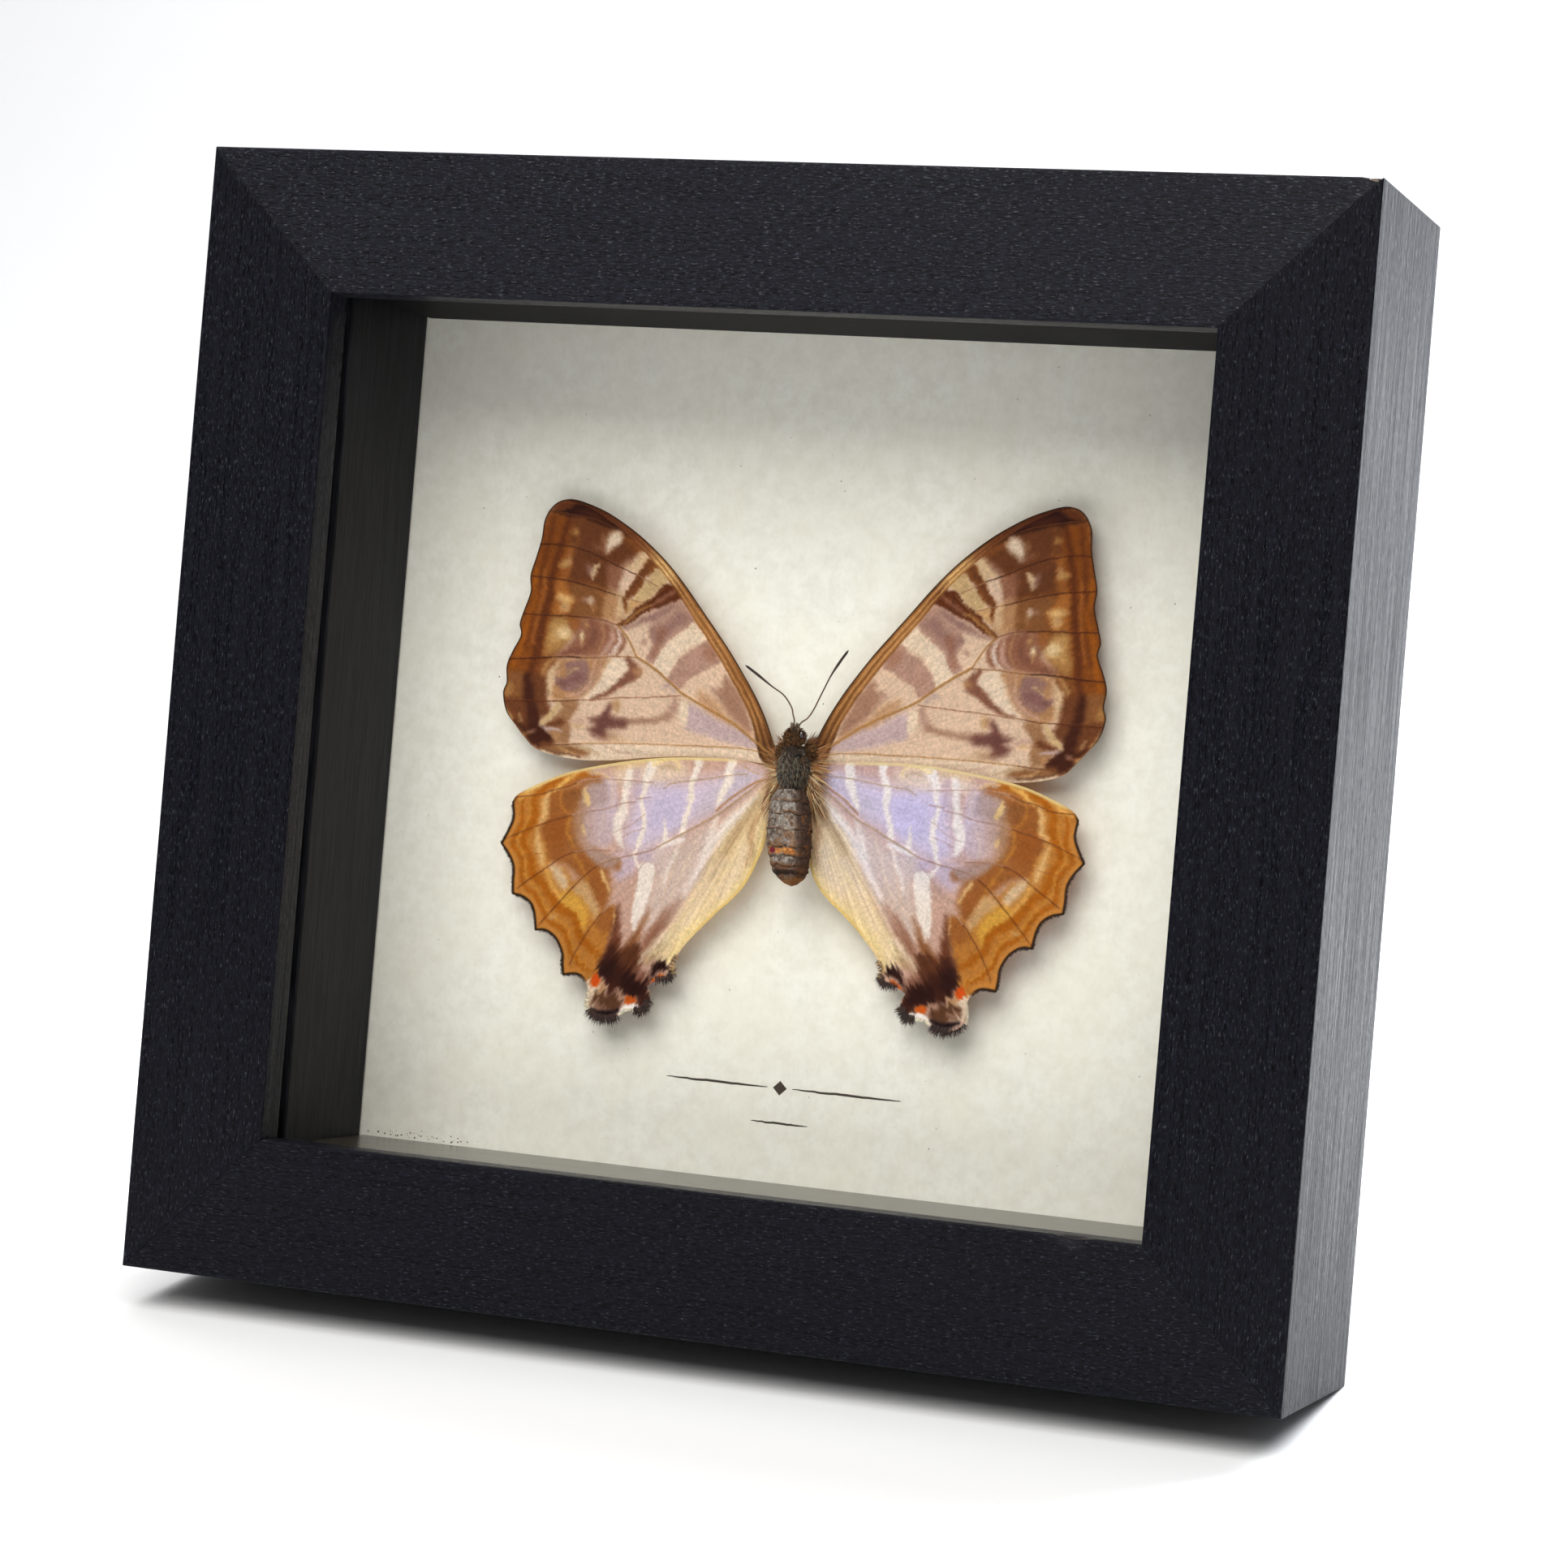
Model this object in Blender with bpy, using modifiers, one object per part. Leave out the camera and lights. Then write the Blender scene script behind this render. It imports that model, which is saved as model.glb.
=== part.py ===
"""Framed butterfly specimen: a deep mitred frame with a spread butterfly behind glass.

Metres, +Z up. The frame stands on its bottom rail at z = 0 and faces -Y. The origin is
the middle of the outer box's base. Depths are counted back from the frame's front face.
"""

import math

import bmesh
import bpy
from mathutils import Matrix, Vector

MM = 0.001
GAP = 0.0003  # clearance between pieces that touch

# Frame: four mitred rails of one L-shaped section, the lip in front
FRAME_WIDTH = 0.160
FRAME_HEIGHT = 0.152
FRAME_DEPTH = 0.038
RAIL_WIDTH = 0.0192
LIP_DEPTH = 0.0051
RABBET = 0.0060  # how far the lip stands in over the rebate behind it
EDGE_ROUND = 0.0003

# What is stacked in the rebate, from the front
GLASS_THICK = 0.0030
GLASS_TO_SPACER = 0.0009
SPACER_THICK = 0.0046
PAPER_DEPTH = 0.0333  # front of the backing paper
PAPER_THICK = 0.0003
BOARD_THICK = 0.0012
PANEL_THICK = 0.0016

# Hardware on the back
POINT_LENGTH = 0.0110
POINT_WIDTH = 0.0060
POINT_THICK = 0.0004
HANGER_LENGTH = 0.044
HANGER_HEIGHT = 0.0085
HANGER_THICK = 0.0008
HANGER_TEETH = 9
NAIL_SPACING = 0.036
NAIL_HEAD_RADIUS = 0.0018
NAIL_HEAD_THICK = 0.0006
NAIL_SHANK_RADIUS = 0.0007
NAIL_LENGTH = 0.0070
NAIL_HOLE_RADIUS = 0.0011
NAIL_SIDES = 12

# Butterfly: its own x and z are counted from the middle of the frame
WING_THICK = 0.0003
FOREWING_DEPTH = 0.0302
HINDWING_DEPTH = 0.0293
BODY_DEPTH = 0.0268
ANTENNA_RADIUS = 0.00012

# The outer box, with the nail heads as its rearmost faces
HARDWARE_DEPTH = GAP + HANGER_THICK + GAP + NAIL_HEAD_THICK
FRONT_Y = -(FRAME_DEPTH + HARDWARE_DEPTH) / 2
REBATE_WALL = RAIL_WIDTH - RABBET  # rail thickness behind the lip
MIDDLE_Z = FRAME_HEIGHT / 2

# Wing outlines in mm from the thorax, for a wing on the +X side: costa, outer margin,
# then back along the rear edge. A third value marks a sharp corner.
FOREWING_OUTLINE = [
    (3.3, 1.2, "corner"), (6, 6.6), (10, 12.4), (15, 18.4), (20, 24.1), (25, 28.4),
    (30, 31.4), (34, 32.9), (36.6, 33.3), (38.6, 32.5), (39.9, 30.4), (40.2, 27.6),
    (40.8, 25), (41.4, 22.4), (41.2, 20.2), (41.9, 17.6), (42.4, 15.6), (42.1, 14),
    (43.1, 11.6), (43.7, 9.6), (43.5, 7.4), (43.9, 5.8), (43.2, 3.3), (41.6, 1.4),
    (40, -0.3), (38.6, -1.5), (36, -2.2), (32, -2.6), (27, -2.3), (22, -1.6),
    (16, -1), (9, -0.9), (3.4, -1.2, "corner"),
]
HINDWING_OUTLINE = [
    (3.4, -1.6, "corner"), (8, -0.9), (14, -1), (19, -1.4), (24, -2.2), (29, -3.3),
    (33.5, -4.6), (37.5, -6.4), (40.2, -8), (41.1, -9.2, "corner"), (40.8, -11.4),
    (41.4, -13.2), (42.3, -15.1, "corner"), (41, -16.6), (40.2, -18.2), (40.1, -20.2),
    (39.9, -22, "corner"), (38.2, -22.3), (36.9, -23.3), (36.3, -24.9),
    (36, -26.7, "corner"), (34.4, -26.6), (32.8, -27.6), (31.8, -29.4), (31.7, -30.8),
    (31.5, -32.5, "corner"), (29.4, -32.2), (28, -33), (27.4, -34.6), (27.5, -36.2),
    (26.3, -37.6), (24.5, -37.9), (23, -37.4), (21.8, -36.4, "corner"), (20.6, -36.3),
    (19.2, -36.3), (18.4, -35.2), (18.3, -33.8), (18.9, -32.8, "corner"),
    (17.6, -31.9), (15.8, -31.6), (15.2, -30.6), (15.4, -29.4), (14.4, -27.6),
    (12.4, -25), (9.6, -22), (7, -19.5), (5.3, -17.2), (4.2, -14.5), (3.4, -12),
    (3.2, -8), (3.3, -4),
]
# How each wing was set when the insect was spread: x and z, each from (u, v, 1) in mm.
# The left wings are the outlines mirrored; the right ones sit a little higher.
AS_DRAWN = ((1, 0, 0), (0, 1, 0))
FOREWING_RIGHT_SET = ((1.01, -0.006, -1.5), (0.053, 1.026, 0))
HINDWING_RIGHT_SET = ((1.011, -0.021, -1.5), (0.091, 0.978, 0))

# Routes of the antennae in mm: x, z and depth, from the head to the tip of the club
ANTENNA_LEFT = [
    (0.5, 4.9, 26.2), (0.1, 5.6, 26.3), (-0.2, 6.8, 26.5), (-1.6, 8.3, 26.7),
    (-3.5, 9.4, 26.9), (-5.7, 10.8, 27.1), (-7.7, 12, 27.3),
]
ANTENNA_RIGHT = [
    (1.4, 4.9, 26.2), (2.2, 5.3, 26.3), (2.9, 6.6, 26.5), (3.9, 9.1, 26.7),
    (4.8, 11.3, 26.9), (5.8, 13.2, 27.1), (6.9, 15, 27.3),
]


def y_at(depth):
    """World Y of a depth behind the front face."""
    return FRONT_Y + depth


def clear_scene():
    for obj in list(bpy.data.objects):
        bpy.data.objects.remove(obj, do_unlink=True)


def make_collection(name):
    collection = bpy.data.collections.new(name)
    bpy.context.scene.collection.children.link(collection)
    return collection


def make_material(name, color, roughness, metallic=0.0, transmission=0.0):
    material = bpy.data.materials.new(name)
    material.use_nodes = True
    shader = material.node_tree.nodes["Principled BSDF"]
    shader.inputs["Base Color"].default_value = (*color, 1.0)
    shader.inputs["Roughness"].default_value = roughness
    shader.inputs["Metallic"].default_value = metallic
    shader.inputs["Transmission Weight"].default_value = transmission
    material.diffuse_color = (*color, 1.0)
    return material


def add_object(name, data, collection, material):
    obj = bpy.data.objects.new(name, data)
    collection.objects.link(obj)
    data.materials.append(material)
    return obj


def mesh_from(name, bm):
    mesh = bpy.data.meshes.new(name)
    bmesh.ops.recalc_face_normals(bm, faces=bm.faces)
    bm.to_mesh(mesh)
    bm.free()
    return mesh


def add_bevel(obj, width, segments=2):
    bevel = obj.modifiers.new("edges", "BEVEL")
    bevel.width = width
    bevel.segments = segments
    bevel.limit_method = "ANGLE"


def box(name, low, high, collection, material, edge=0.0):
    """A box between two corners, with its origin in its middle."""
    low, high = Vector(low), Vector(high)
    bm = bmesh.new()
    bmesh.ops.create_cube(bm, size=1.0)
    bmesh.ops.scale(bm, vec=high - low, verts=bm.verts)
    obj = add_object(name, mesh_from(name, bm), collection, material)
    obj.location = (low + high) / 2
    if edge:
        add_bevel(obj, edge)
    return obj


def rail(name, length, turn, location, collection, material):
    """One mitred rail: its section is drawn once, swept, and its ends cut at 45 degrees.

    Locally X runs along the rail, Y is depth, and Z is the inset from the outer edge.
    """
    section = [
        (0, 0),
        (0, RAIL_WIDTH),
        (LIP_DEPTH, RAIL_WIDTH),
        (LIP_DEPTH, REBATE_WALL),
        (FRAME_DEPTH, REBATE_WALL),
        (FRAME_DEPTH, 0),
    ]
    bm = bmesh.new()
    face = bm.faces.new([bm.verts.new((-1, depth, inset)) for depth, inset in section])
    swept = bmesh.ops.extrude_face_region(bm, geom=[face])["geom"]
    far_end = [item for item in swept if isinstance(item, bmesh.types.BMVert)]
    bmesh.ops.translate(bm, vec=(2, 0, 0), verts=far_end)
    mitre_gap = GAP / math.sqrt(2)
    for vert in bm.verts:
        half = length / 2 - vert.co.z - mitre_gap
        vert.co.x = math.copysign(half, vert.co.x)
    obj = add_object(name, mesh_from(name, bm), collection, material)
    obj.location = location
    obj.rotation_euler.y = turn
    add_bevel(obj, EDGE_ROUND)
    return obj


def make_rails(collection, material):
    side_z = MIDDLE_Z
    half_turn, quarter = math.pi, math.pi / 2
    y = FRONT_Y
    edge = FRAME_WIDTH / 2
    rails = {
        "rail_bottom": (FRAME_WIDTH, 0.0, (0, y, 0)),
        "rail_top": (FRAME_WIDTH, half_turn, (0, y, FRAME_HEIGHT)),
        "rail_left": (FRAME_HEIGHT, quarter, (-edge, y, side_z)),
        "rail_right": (FRAME_HEIGHT, -quarter, (edge, y, side_z)),
    }
    return {
        name: rail(name, *placing, collection, material)
        for name, placing in rails.items()
    }


def rebate_box(name, front, thick, inset, collection, material):
    """A sheet across the opening, inset from the frame's outer edges."""
    half = FRAME_WIDTH / 2 - inset
    low = (-half, y_at(front), inset)
    high = (half, y_at(front + thick), FRAME_HEIGHT - inset)
    return box(name, low, high, collection, material)


def make_glass(collection, material):
    front = LIP_DEPTH + GAP
    inset = REBATE_WALL + GAP
    rebate_box("glass_pane", front, GLASS_THICK, inset, collection, material)
    return front + GLASS_THICK


def make_spacers(glass_back, collection, material):
    """Four strips that hold the backing away from the glass: the side ones run through."""
    front = y_at(glass_back + GLASS_TO_SPACER)
    back = y_at(PAPER_DEPTH - GAP)
    outer = REBATE_WALL + GAP
    inner = outer + SPACER_THICK
    side = FRAME_WIDTH / 2
    top = FRAME_HEIGHT
    between = side - inner - GAP
    strips = {
        "spacer_left": ((-side + outer, front, outer), (-side + inner, back, top - outer)),
        "spacer_right": ((side - inner, front, outer), (side - outer, back, top - outer)),
        "spacer_bottom": ((-between, front, outer), (between, back, inner)),
        "spacer_top": ((-between, front, top - inner), (between, back, top - outer)),
    }
    for name, (low, high) in strips.items():
        box(name, low, high, collection, material, edge=EDGE_ROUND)


def make_backing(collection, paper, board, panel):
    """Backing paper, the board it lies on, and the panel that closes the back."""
    inset = REBATE_WALL + GAP
    depth = PAPER_DEPTH
    rebate_box("backing_paper", depth, PAPER_THICK, inset, collection, paper)
    depth += PAPER_THICK + GAP
    rebate_box("mount_board", depth, BOARD_THICK, inset, collection, board)
    depth += BOARD_THICK + GAP
    rebate_box("back_panel", depth, PANEL_THICK, inset, collection, panel)
    return depth + PANEL_THICK


def flexi_point(name, spot, turn, collection, material):
    """A flat steel point that holds the panel in: a tongue with a narrowed tip."""
    bm = bmesh.new()
    bmesh.ops.create_cube(bm, size=1.0)
    bmesh.ops.scale(bm, vec=(POINT_LENGTH, POINT_THICK, POINT_WIDTH), verts=bm.verts)
    for vert in bm.verts:
        if vert.co.x > 0:
            vert.co.z *= 0.55
    obj = add_object(name, mesh_from(name, bm), collection, material)
    obj.location = spot
    obj.rotation_euler.y = turn
    return obj


def make_points(panel_back, collection, material):
    """Two points along each rail, their wide ends against the rebate wall."""
    y = y_at(panel_back + GAP + POINT_THICK / 2)
    reach = REBATE_WALL + GAP + POINT_LENGTH / 2
    across = FRAME_WIDTH / 2 - reach
    top = FRAME_HEIGHT - reach
    quarter = math.pi / 2
    for number, share in enumerate((-0.21, 0.21), start=1):
        x = share * FRAME_WIDTH
        z = MIDDLE_Z + share * FRAME_HEIGHT
        spots = {
            "left": ((-across, y, z), 0.0),
            "right": ((across, y, z), math.pi),
            "bottom": ((x, y, reach), -quarter),
            "top": ((x, y, top), quarter),
        }
        for side, (spot, turn) in spots.items():
            flexi_point(f"back_point_{side}_{number}", spot, turn, collection, material)


def add_outline(curve, points, smooth):
    """A closed flat spline: smooth through its points, or straight between them."""
    spline = curve.splines.new("BEZIER")
    spline.bezier_points.add(len(points) - 1)
    spline.use_cyclic_u = True
    for target, point in zip(spline.bezier_points, points):
        target.co = (point[0], point[1], 0.0)
        sharp = len(point) > 2 or not smooth
        target.handle_left_type = "VECTOR" if sharp else "AUTO"
        target.handle_right_type = "VECTOR" if sharp else "AUTO"
    return spline


def flat_plate(name, thick, depth, collection, material):
    """An empty 2D curve standing in the XZ plane; its splines are filled and thickened."""
    curve = bpy.data.curves.new(name, "CURVE")
    curve.dimensions = "2D"
    curve.fill_mode = "BOTH"
    curve.extrude = thick / 2
    obj = add_object(name, curve, collection, material)
    obj.location = (0, y_at(depth), 0)
    obj.rotation_euler.x = math.pi / 2
    return curve


def hanger_outline(z):
    """The hanger's edge: a straight top, and a saw of teeth along the lower edge."""
    half = HANGER_LENGTH / 2
    tooth = HANGER_LENGTH * 0.62 / HANGER_TEETH
    first = -tooth * HANGER_TEETH / 2
    points = [(-half, z + HANGER_HEIGHT), (-half, z)]
    for index in range(HANGER_TEETH):
        x = first + index * tooth
        points += [(x, z), (x + tooth / 2, z + tooth / 2)]
    points += [(-first, z), (half, z), (half, z + HANGER_HEIGHT)]
    return points


def make_hanger(rail_top, collection, cutters, material):
    """Sawtooth hanger nailed to the back of the top rail, through holes bored in both."""
    z = FRAME_HEIGHT - REBATE_WALL / 2 - HANGER_HEIGHT / 2
    depth = FRAME_DEPTH + GAP + HANGER_THICK / 2
    plate = flat_plate("sawtooth_hanger", HANGER_THICK, depth, collection, material)
    plate.resolution_u = 1
    add_outline(plate, hanger_outline(z), smooth=False)
    nail_z = z + HANGER_HEIGHT / 2
    for number, side in enumerate((-1, 1), start=1):
        x = side * NAIL_SPACING / 2
        hole = [
            (x + NAIL_HOLE_RADIUS * math.cos(angle), nail_z + NAIL_HOLE_RADIUS * math.sin(angle))
            for angle in (math.tau * step / NAIL_SIDES for step in range(NAIL_SIDES))
        ]
        add_outline(plate, hole, smooth=False)
        hanger_nail(f"hanger_nail_{number}", x, nail_z, collection, material)
        bore_pilot_hole(rail_top, x, nail_z, cutters)


def hanger_nail(name, x, z, collection, material):
    """A turned nail: head behind the hanger's plate, shank through it into the rail."""
    head_back = NAIL_HEAD_THICK
    profile = [
        (0, head_back),
        (NAIL_HEAD_RADIUS, head_back),
        (NAIL_HEAD_RADIUS, 0),
        (NAIL_SHANK_RADIUS, 0),
        (NAIL_SHANK_RADIUS, -NAIL_LENGTH * 0.85),
        (0, -NAIL_LENGTH),
    ]
    mesh = bpy.data.meshes.new(name)
    edges = [(index, index + 1) for index in range(len(profile) - 1)]
    mesh.from_pydata([(radius, 0, height) for radius, height in profile], edges, [])
    obj = add_object(name, mesh, collection, material)
    obj.location = (x, y_at(FRAME_DEPTH + GAP + HANGER_THICK + GAP), z)
    obj.rotation_euler.x = -math.pi / 2
    screw = obj.modifiers.new("turn", "SCREW")
    screw.steps = NAIL_SIDES
    screw.render_steps = NAIL_SIDES
    screw.use_merge_vertices = True
    screw.merge_threshold = 0.00001


def bore_pilot_hole(rail_top, x, z, cutters):
    depth = NAIL_LENGTH + GAP
    bm = bmesh.new()
    bmesh.ops.create_cone(
        bm,
        cap_ends=True,
        segments=NAIL_SIDES,
        radius1=NAIL_HOLE_RADIUS,
        radius2=NAIL_HOLE_RADIUS,
        depth=2 * depth,
    )
    cutter = bpy.data.objects.new("pilot_hole", mesh_from("pilot_hole", bm))
    cutters.objects.link(cutter)
    cutter.location = (x, y_at(FRAME_DEPTH), z)
    cutter.rotation_euler.x = math.pi / 2
    cutter.hide_render = True
    cutter.display_type = "WIRE"
    cut = rail_top.modifiers.new("pilot_hole", "BOOLEAN")
    cut.operation = "DIFFERENCE"
    cut.object = cutter


def wing(name, outline, side, setting, depth, collection, material):
    """A thin plate of a wing's outline, mirrored for the -X side and set on the body."""
    row_x, row_z = setting
    placed = []
    for u, v, *corner in outline:
        x = side * (row_x[0] * u + row_x[1] * v + row_x[2]) * MM
        z = MIDDLE_Z + (row_z[0] * u + row_z[1] * v + row_z[2]) * MM
        placed.append((x, z, *corner))
    curve = flat_plate(name, WING_THICK, depth, collection, material)
    curve.resolution_u = 3
    add_outline(curve, placed, smooth=True)


def make_wings(collection, material):
    wings = [
        ("forewing_left", FOREWING_OUTLINE, -1, AS_DRAWN, FOREWING_DEPTH),
        ("forewing_right", FOREWING_OUTLINE, 1, FOREWING_RIGHT_SET, FOREWING_DEPTH),
        ("hindwing_left", HINDWING_OUTLINE, -1, AS_DRAWN, HINDWING_DEPTH),
        ("hindwing_right", HINDWING_OUTLINE, 1, HINDWING_RIGHT_SET, HINDWING_DEPTH),
    ]
    for values in wings:
        wing(*values, collection, material)


def ellipsoid(name, centre, radii, collection, material, rings=12):
    """A round body part. centre is x, z from the frame's middle and depth, all in mm."""
    bm = bmesh.new()
    bmesh.ops.create_uvsphere(bm, u_segments=rings * 3 // 2, v_segments=rings, radius=1.0)
    bmesh.ops.scale(bm, vec=Vector(radii) * MM, verts=bm.verts)
    obj = add_object(name, mesh_from(name, bm), collection, material)
    x, z, depth = centre
    obj.location = (x * MM, y_at(depth * MM), MIDDLE_Z + z * MM)
    obj.data.shade_smooth()
    return obj


def abdomen(collection, material):
    """A tapered turned form, swinging a little to +X towards its tip."""
    top_z, length = -4.9, 12.4
    profile = [(0, 0), (2.2, 0.5), (2.8, 2.2), (3.15, 5), (3.0, 8), (2.35, 10.4), (1.3, 12), (0, 12.4)]
    flatten = Matrix.Diagonal((1.0, 0.82, 1.0))
    sides = 16
    bm = bmesh.new()
    points = [bm.verts.new((radius * MM, 0, -drop * MM)) for radius, drop in profile]
    for upper, lower in zip(points, points[1:]):
        bm.edges.new((upper, lower))
    bmesh.ops.spin(
        bm,
        geom=bm.verts[:] + bm.edges[:],
        axis=(0, 0, 1),
        cent=(0, 0, 0),
        steps=sides,
        angle=math.tau,
        use_merge=True,
    )
    bmesh.ops.remove_doubles(bm, verts=bm.verts, dist=0.00001)
    for vert in bm.verts:
        vert.co = flatten @ vert.co
        vert.co.x += 0.9 * MM * (-vert.co.z / (length * MM)) ** 2
    obj = add_object("butterfly_abdomen", mesh_from("abdomen", bm), collection, material)
    obj.location = (0.6 * MM, y_at(26.0 * MM), MIDDLE_Z + top_z * MM)
    obj.data.shade_smooth()


def make_body(collection, skin, foam):
    depth = BODY_DEPTH / MM
    ellipsoid("butterfly_head", (0.8, 3.35, 26.3), (1.5, 1.4, 1.1), collection, skin, rings=10)
    ellipsoid("butterfly_thorax", (0.1, -1.3, depth), (2.45, 2.9, 3.25), collection, skin)
    abdomen(collection, skin)
    pad_front, pad_back = 0.0301, PAPER_DEPTH - GAP
    bm = bmesh.new()
    bmesh.ops.create_cone(
        bm, cap_ends=True, segments=16, radius1=0.0015, radius2=0.0015, depth=pad_back - pad_front
    )
    pad = add_object("mount_pad", mesh_from("mount_pad", bm), collection, foam)
    pad.location = (-0.0003, y_at((pad_front + pad_back) / 2), MIDDLE_Z - 0.001)
    pad.rotation_euler.x = math.pi / 2


def smooth_route(points, steps):
    """Points along a smooth curve through the route's own points."""
    points = [Vector(point) for point in points]
    ends = [2 * points[0] - points[1], *points, 2 * points[-1] - points[-2]]
    route = []
    for a, b, c, d in zip(ends, ends[1:], ends[2:], ends[3:]):
        for step in range(steps):
            t = step / steps
            route.append(
                b
                + (c - a) * (t / 2)
                + (2 * a - 5 * b + 4 * c - d) * (t * t / 2)
                + (3 * (b - c) + d - a) * (t**3 / 2)
            )
    return [*route, points[-1]]


def antenna(name, route, collection, material):
    """A fine tube that thickens into a slender club over its last quarter."""
    curve = bpy.data.curves.new(name, "CURVE")
    curve.dimensions = "3D"
    curve.bevel_depth = ANTENNA_RADIUS
    curve.bevel_resolution = 1
    curve.use_fill_caps = True
    points = smooth_route(route, 3)
    spline = curve.splines.new("POLY")
    spline.points.add(len(points) - 1)
    for index, (target, (x, z, depth)) in enumerate(zip(spline.points, points)):
        target.co = (x * MM, y_at(depth * MM), MIDDLE_Z + z * MM, 1.0)
        along = index / (len(points) - 1)
        club = max(0.0, (along - 0.72) / 0.28)
        target.radius = 1.0 + 1.3 * math.sin(math.pi * min(club, 0.85))
    return add_object(name, curve, collection, material)


def main():
    clear_scene()
    part = make_collection("framed_butterfly")
    cutters = make_collection("cutters")
    black_wood = make_material("black_stained_wood", (0.022, 0.024, 0.032), 0.42)
    black_spacer = make_material("black_spacer", (0.03, 0.03, 0.031), 0.55)
    clear_glass = make_material("clear_glass", (0.95, 0.97, 0.96), 0.02, transmission=1.0)
    cream_paper = make_material("cream_paper", (0.80, 0.76, 0.68), 0.85)
    grey_board = make_material("grey_board", (0.55, 0.52, 0.47), 0.9)
    brown_panel = make_material("brown_hardboard", (0.27, 0.16, 0.09), 0.7)
    steel = make_material("plated_steel", (0.62, 0.62, 0.60), 0.35, metallic=1.0)
    wing_scales = make_material("wing_scales", (0.45, 0.27, 0.16), 0.6)
    dark_down = make_material("dark_down", (0.06, 0.05, 0.045), 0.9)
    foam = make_material("foam_pad", (0.75, 0.72, 0.66), 0.9)

    rails = make_rails(part, black_wood)
    glass_back = make_glass(part, clear_glass)
    make_spacers(glass_back, part, black_spacer)
    panel_back = make_backing(part, cream_paper, grey_board, brown_panel)
    make_points(panel_back, part, steel)
    make_hanger(rails["rail_top"], part, cutters, steel)
    make_wings(part, wing_scales)
    make_body(part, dark_down, foam)
    antenna("antenna_left", ANTENNA_LEFT, part, dark_down)
    antenna("antenna_right", ANTENNA_RIGHT, part, dark_down)


main()
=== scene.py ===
"""Framed butterfly specimen: the looks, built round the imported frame.

Metres, +Z up, the frame facing -Y. A wing's own coordinates are u outward from the body
and v upward, in mm; depth is counted back from the frame's front face.
"""

import math

import bmesh
import bpy
import numpy as np
from mathutils import Matrix, Vector


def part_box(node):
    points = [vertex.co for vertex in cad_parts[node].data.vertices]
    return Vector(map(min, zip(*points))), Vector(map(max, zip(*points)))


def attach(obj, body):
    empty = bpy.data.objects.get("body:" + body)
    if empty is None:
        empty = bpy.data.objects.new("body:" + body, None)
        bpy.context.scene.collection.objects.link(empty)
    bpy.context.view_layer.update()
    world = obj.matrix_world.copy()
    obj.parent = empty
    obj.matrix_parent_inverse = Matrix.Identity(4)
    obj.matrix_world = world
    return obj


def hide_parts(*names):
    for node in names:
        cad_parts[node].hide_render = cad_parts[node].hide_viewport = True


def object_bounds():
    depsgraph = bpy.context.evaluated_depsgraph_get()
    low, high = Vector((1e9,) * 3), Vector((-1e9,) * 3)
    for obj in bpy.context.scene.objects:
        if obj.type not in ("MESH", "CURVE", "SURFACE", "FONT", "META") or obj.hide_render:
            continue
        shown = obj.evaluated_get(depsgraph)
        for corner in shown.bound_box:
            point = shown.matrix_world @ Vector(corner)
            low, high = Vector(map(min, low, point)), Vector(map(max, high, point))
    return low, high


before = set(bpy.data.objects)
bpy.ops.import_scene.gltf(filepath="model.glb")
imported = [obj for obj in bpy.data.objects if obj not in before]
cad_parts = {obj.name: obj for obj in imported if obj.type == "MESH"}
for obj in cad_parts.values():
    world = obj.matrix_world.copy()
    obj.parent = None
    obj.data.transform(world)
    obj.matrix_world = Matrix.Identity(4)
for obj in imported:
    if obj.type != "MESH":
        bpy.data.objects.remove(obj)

MM = 0.001
CAD_LOW, CAD_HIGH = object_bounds()
RAIL_LOW, RAIL_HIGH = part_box("rail_left")
FRONT_Y = RAIL_LOW.y
MIDDLE_Z = (CAD_LOW.z + CAD_HIGH.z) / 2
HALF_WIDTH = (CAD_HIGH.x - CAD_LOW.x) / 2
HALF_HEIGHT = (CAD_HIGH.z - CAD_LOW.z) / 2
PAPER_DEPTH = (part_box("backing_paper")[0].y - FRONT_Y) / MM
SPECK_DEPTH = PAPER_DEPTH - 0.01  # the specks and the print lie just in front of the paper
PRINT_DEPTH = PAPER_DEPTH - 0.015

# Camera (its place, its ways right and up, its lens in mm) and studio, in metres
CAMERA_AT = (0.183, -0.5047, 0.0705)
CAMERA_RIGHT = (0.9381, 0.3363, 0.0832)
CAMERA_UP = (-0.0772, -0.0313, 0.9965)
CAMERA_LENS = 92.5
SENSOR_WIDTH = 36.0
FLOOR_FALL = 0.15  # how steeply the floor falls away in front of the frame
FLOOR_FRONT, FLOOR_BACK, FLOOR_SIDE = -0.8, 0.8, 1.3
FLOOR_NEAR = -0.2  # between here and the frame the floor's shading turns level
SWEEP_RADIUS, SWEEP_TOP = 0.9, 3.2
ROOM_GLOW = 0.23  # light from all round
BACKDROP_GLOW = 1.05  # what the camera sees past the floor

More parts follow.
